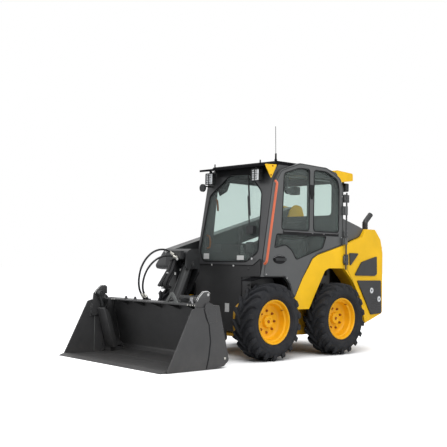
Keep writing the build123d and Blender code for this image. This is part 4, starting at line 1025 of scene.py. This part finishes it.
corner = Shape()
for y, z in ((62, 1944), (40, 1850)):
    corner.lathe([(0, 0.009), (0.003, 0.009), (0.005, 0.005)], mm(613, y, z), (1, 0, 0), 14)
corner.done("corner_screws", "chassis", "nut", "steel")
ridges = Shape()
for x, y in ((-257, 60), (417, 80), (-100, 300), (300, 300)):
    ridges.rod(mm(x, y, 1975), mm(x, y, 2022), 0.007, 10, 0.002)
for x in (-240, -100, 40, 180, 320, 460):
    ridges.box(mm(x - 14, 170, 2002), mm(x + 14, 980, 2008), 0.0025)
ridges.lathe([(0, 0.016), (0.05, 0.014), (0.055, 0.010), (0.11, 0.009), (0.115, 0.004)],
           mm(399, 328, 2003), (0, 0, 1), 16)
ridges.done("roof_ribs", "chassis", "roof", "black_paint")

# ------------------------------------------------------------------ tail, hood, rear and belly
rings = Shape()
for y, z in ((1643, 674), (1781, 576)):
    rings.lathe([(0, 0.039), (0.006, 0.037), (0.006, 0.031), (0.001, 0.030)], mm(663, y, z), (1, 0, 0), 32)
    rings.lathe([(0, 0.013), (0.002, 0.011)], mm(668, y, z), (1, 0, 0), 20)
rings.done("tail_lamp_rings", "chassis", "grey_plastic", "black_plastic")
tail = Shape()
for y, z in ((1360, 1076), (1270, 1076), (1268, 972), (1356, 850), (1450, 970), (1728, 1040), (1726, 872),
             (1404, 778), (1806, 776), (1822, 430), (1650, 420)):
    tail.lathe([(0, 0.006), (0.002, 0.006), (0.003, 0.004)], mm(664, y, z), (1, 0, 0), 12)
for n in range(5):
    z = 470 + 26 * n
    tail.box(mm(650.5, 1648, z), mm(666, 1800 - 2 * n, z + 9), 0.002)
tail.done("tail_cover_screws", "chassis", "cover", "dark_grey")
joints = Shape()
joints.tube(at_x(650.2, ((1240, 1082), (1230, 900), (1330, 780), (1400, 560))), 0.0018, 6)
joints.done("panel_gaps", "chassis", "seal", "black_plastic")
hood = Shape()
grille_low, grille_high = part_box("hood_grille")
hood_fall = (grille_high.z - grille_low.z) / (grille_high.y - grille_low.y)
slat_count, bar_count = 22, 6


def on_hood(x, y):
    """Foot of a slat: close to the hood's mesh at its front, and up to 19 mm under it at the rear.

    The fall is that of the mesh's box, which is steeper than the hood itself.
    """
    place = mm(x, y, 0)
    place.z = grille_high.z + 0.001 - (place.y - grille_low.y) * hood_fall
    return place


for n in range(slat_count):
    x = -300 + 810 * n / (slat_count - 1)
    hood.prism([on_hood(x - 4, 1222), on_hood(x + 4, 1222), on_hood(x + 4, 1392), on_hood(x - 4, 1392)],
               (0, hood_fall, 1), 0.005, 0.001)
for n in range(bar_count):
    y = 1226 + 32 * n
    hood.prism([on_hood(-318, y), on_hood(528, y), on_hood(528, y + 6), on_hood(-318, y + 6)],
               (0, hood_fall, 1), 0.004, 0.001)
hood.done("hood_slats", "engine_hood", "black", "mesh_black")
pipe = Shape()
for n in range(5):
    pipe.lathe([(0, 0.0305), (0.003, 0.034), (0.008, 0.034), (0.011, 0.0305)], mm(540, 1672, 1372 + 17 * n),
               (0, 0, 1), 24)
pipe.done("exhaust_rings", "chassis", "cover", "black_paint")
back = Shape()
for n in range(9):
    z = 560 + 42 * n
    back.turned_box(mm(0, 1919, z), (0.60, 0.005, 0.024), Matrix.Rotation(math.radians(20), 3, "X"), 0.002)
back.box(mm(330, 1912, 780), mm(378, 1926, 900), 0.005)
back.done("rear_door_louvres", "rear_door", "charcoal", "dark_grey")
lugs = Shape()
for x in (-470, 470):
    lugs.lathe([(-0.011, 0.038), (-0.011, 0.018), (0.011, 0.018), (0.011, 0.038)], mm(x, 1882, 400),
               (1, 0, 0), 24, ring=True)
for x in (-560, 560):
    for z in (420, 620, 820, 1020, 1220):
        lugs.bolt(mm(x, 1899, z), (0, 1, 0), 0.010)
lugs.done("tail_lugs", "chassis", "black", "black_paint")
belly = Shape()
for x in (-380, -130, 130, 380):
    for y in (-100, 350, 800, 1250, 1700):
        belly.bolt(mm(x, y, 207), (0, 0, -1), 0.012)
belly.done("belly_bolts", "chassis", "steel", "steel")

# ------------------------------------------------------------------ right side: tower, pivots and plates on the arm
tower_x = -650
towers = Shape()
for y, z in ((1250, 620), (1350, 620), (1600, 620), (1700, 700), (1720, 900), (1720, 1120), (1260, 820)):
    towers.bolt(mm(tower_x, y, z), (-1, 0, 0), 0.013)
for y, z, r in ((1560, 1560, 0.062), (1290, 960, 0.044)):
    towers.lathe([(0, r), (0.010, r), (0.014, r - 0.006), (0.014, r * 0.5), (0.010, r * 0.45)],
                 mm(tower_x, y, z), (-1, 0, 0), 36)
    towers.bolt(mm(tower_x - 10, y, z), (-1, 0, 0), 0.014)
towers.done("tower_bolts", "chassis", "steel", "steel")
arm_caps = Shape()
arm_caps.lathe([(0, 0.050), (0.010, 0.050), (0.014, 0.044)], mm(-600, 150, 980), (-1, 0, 0), 32)
arm_caps.bolt(mm(-614, 150, 980), (-1, 0, 0), 0.012)
for y, z in ((-250, 1010), (100, 1090), (500, 1180), (900, 1290), (1200, 1390)):
    arm_caps.box(mm(-604, y - 16, z - 10), mm(-598, y + 16, z + 10), 0.002)
arm_caps.done("arm_caps", "lift_arm", "steel", "steel")

# ------------------------------------------------------------------ sizes of the CAD parts and of what is drawn
size = {"cad": [list(v) for v in cad_box], "visual": [list(v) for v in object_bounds()]}
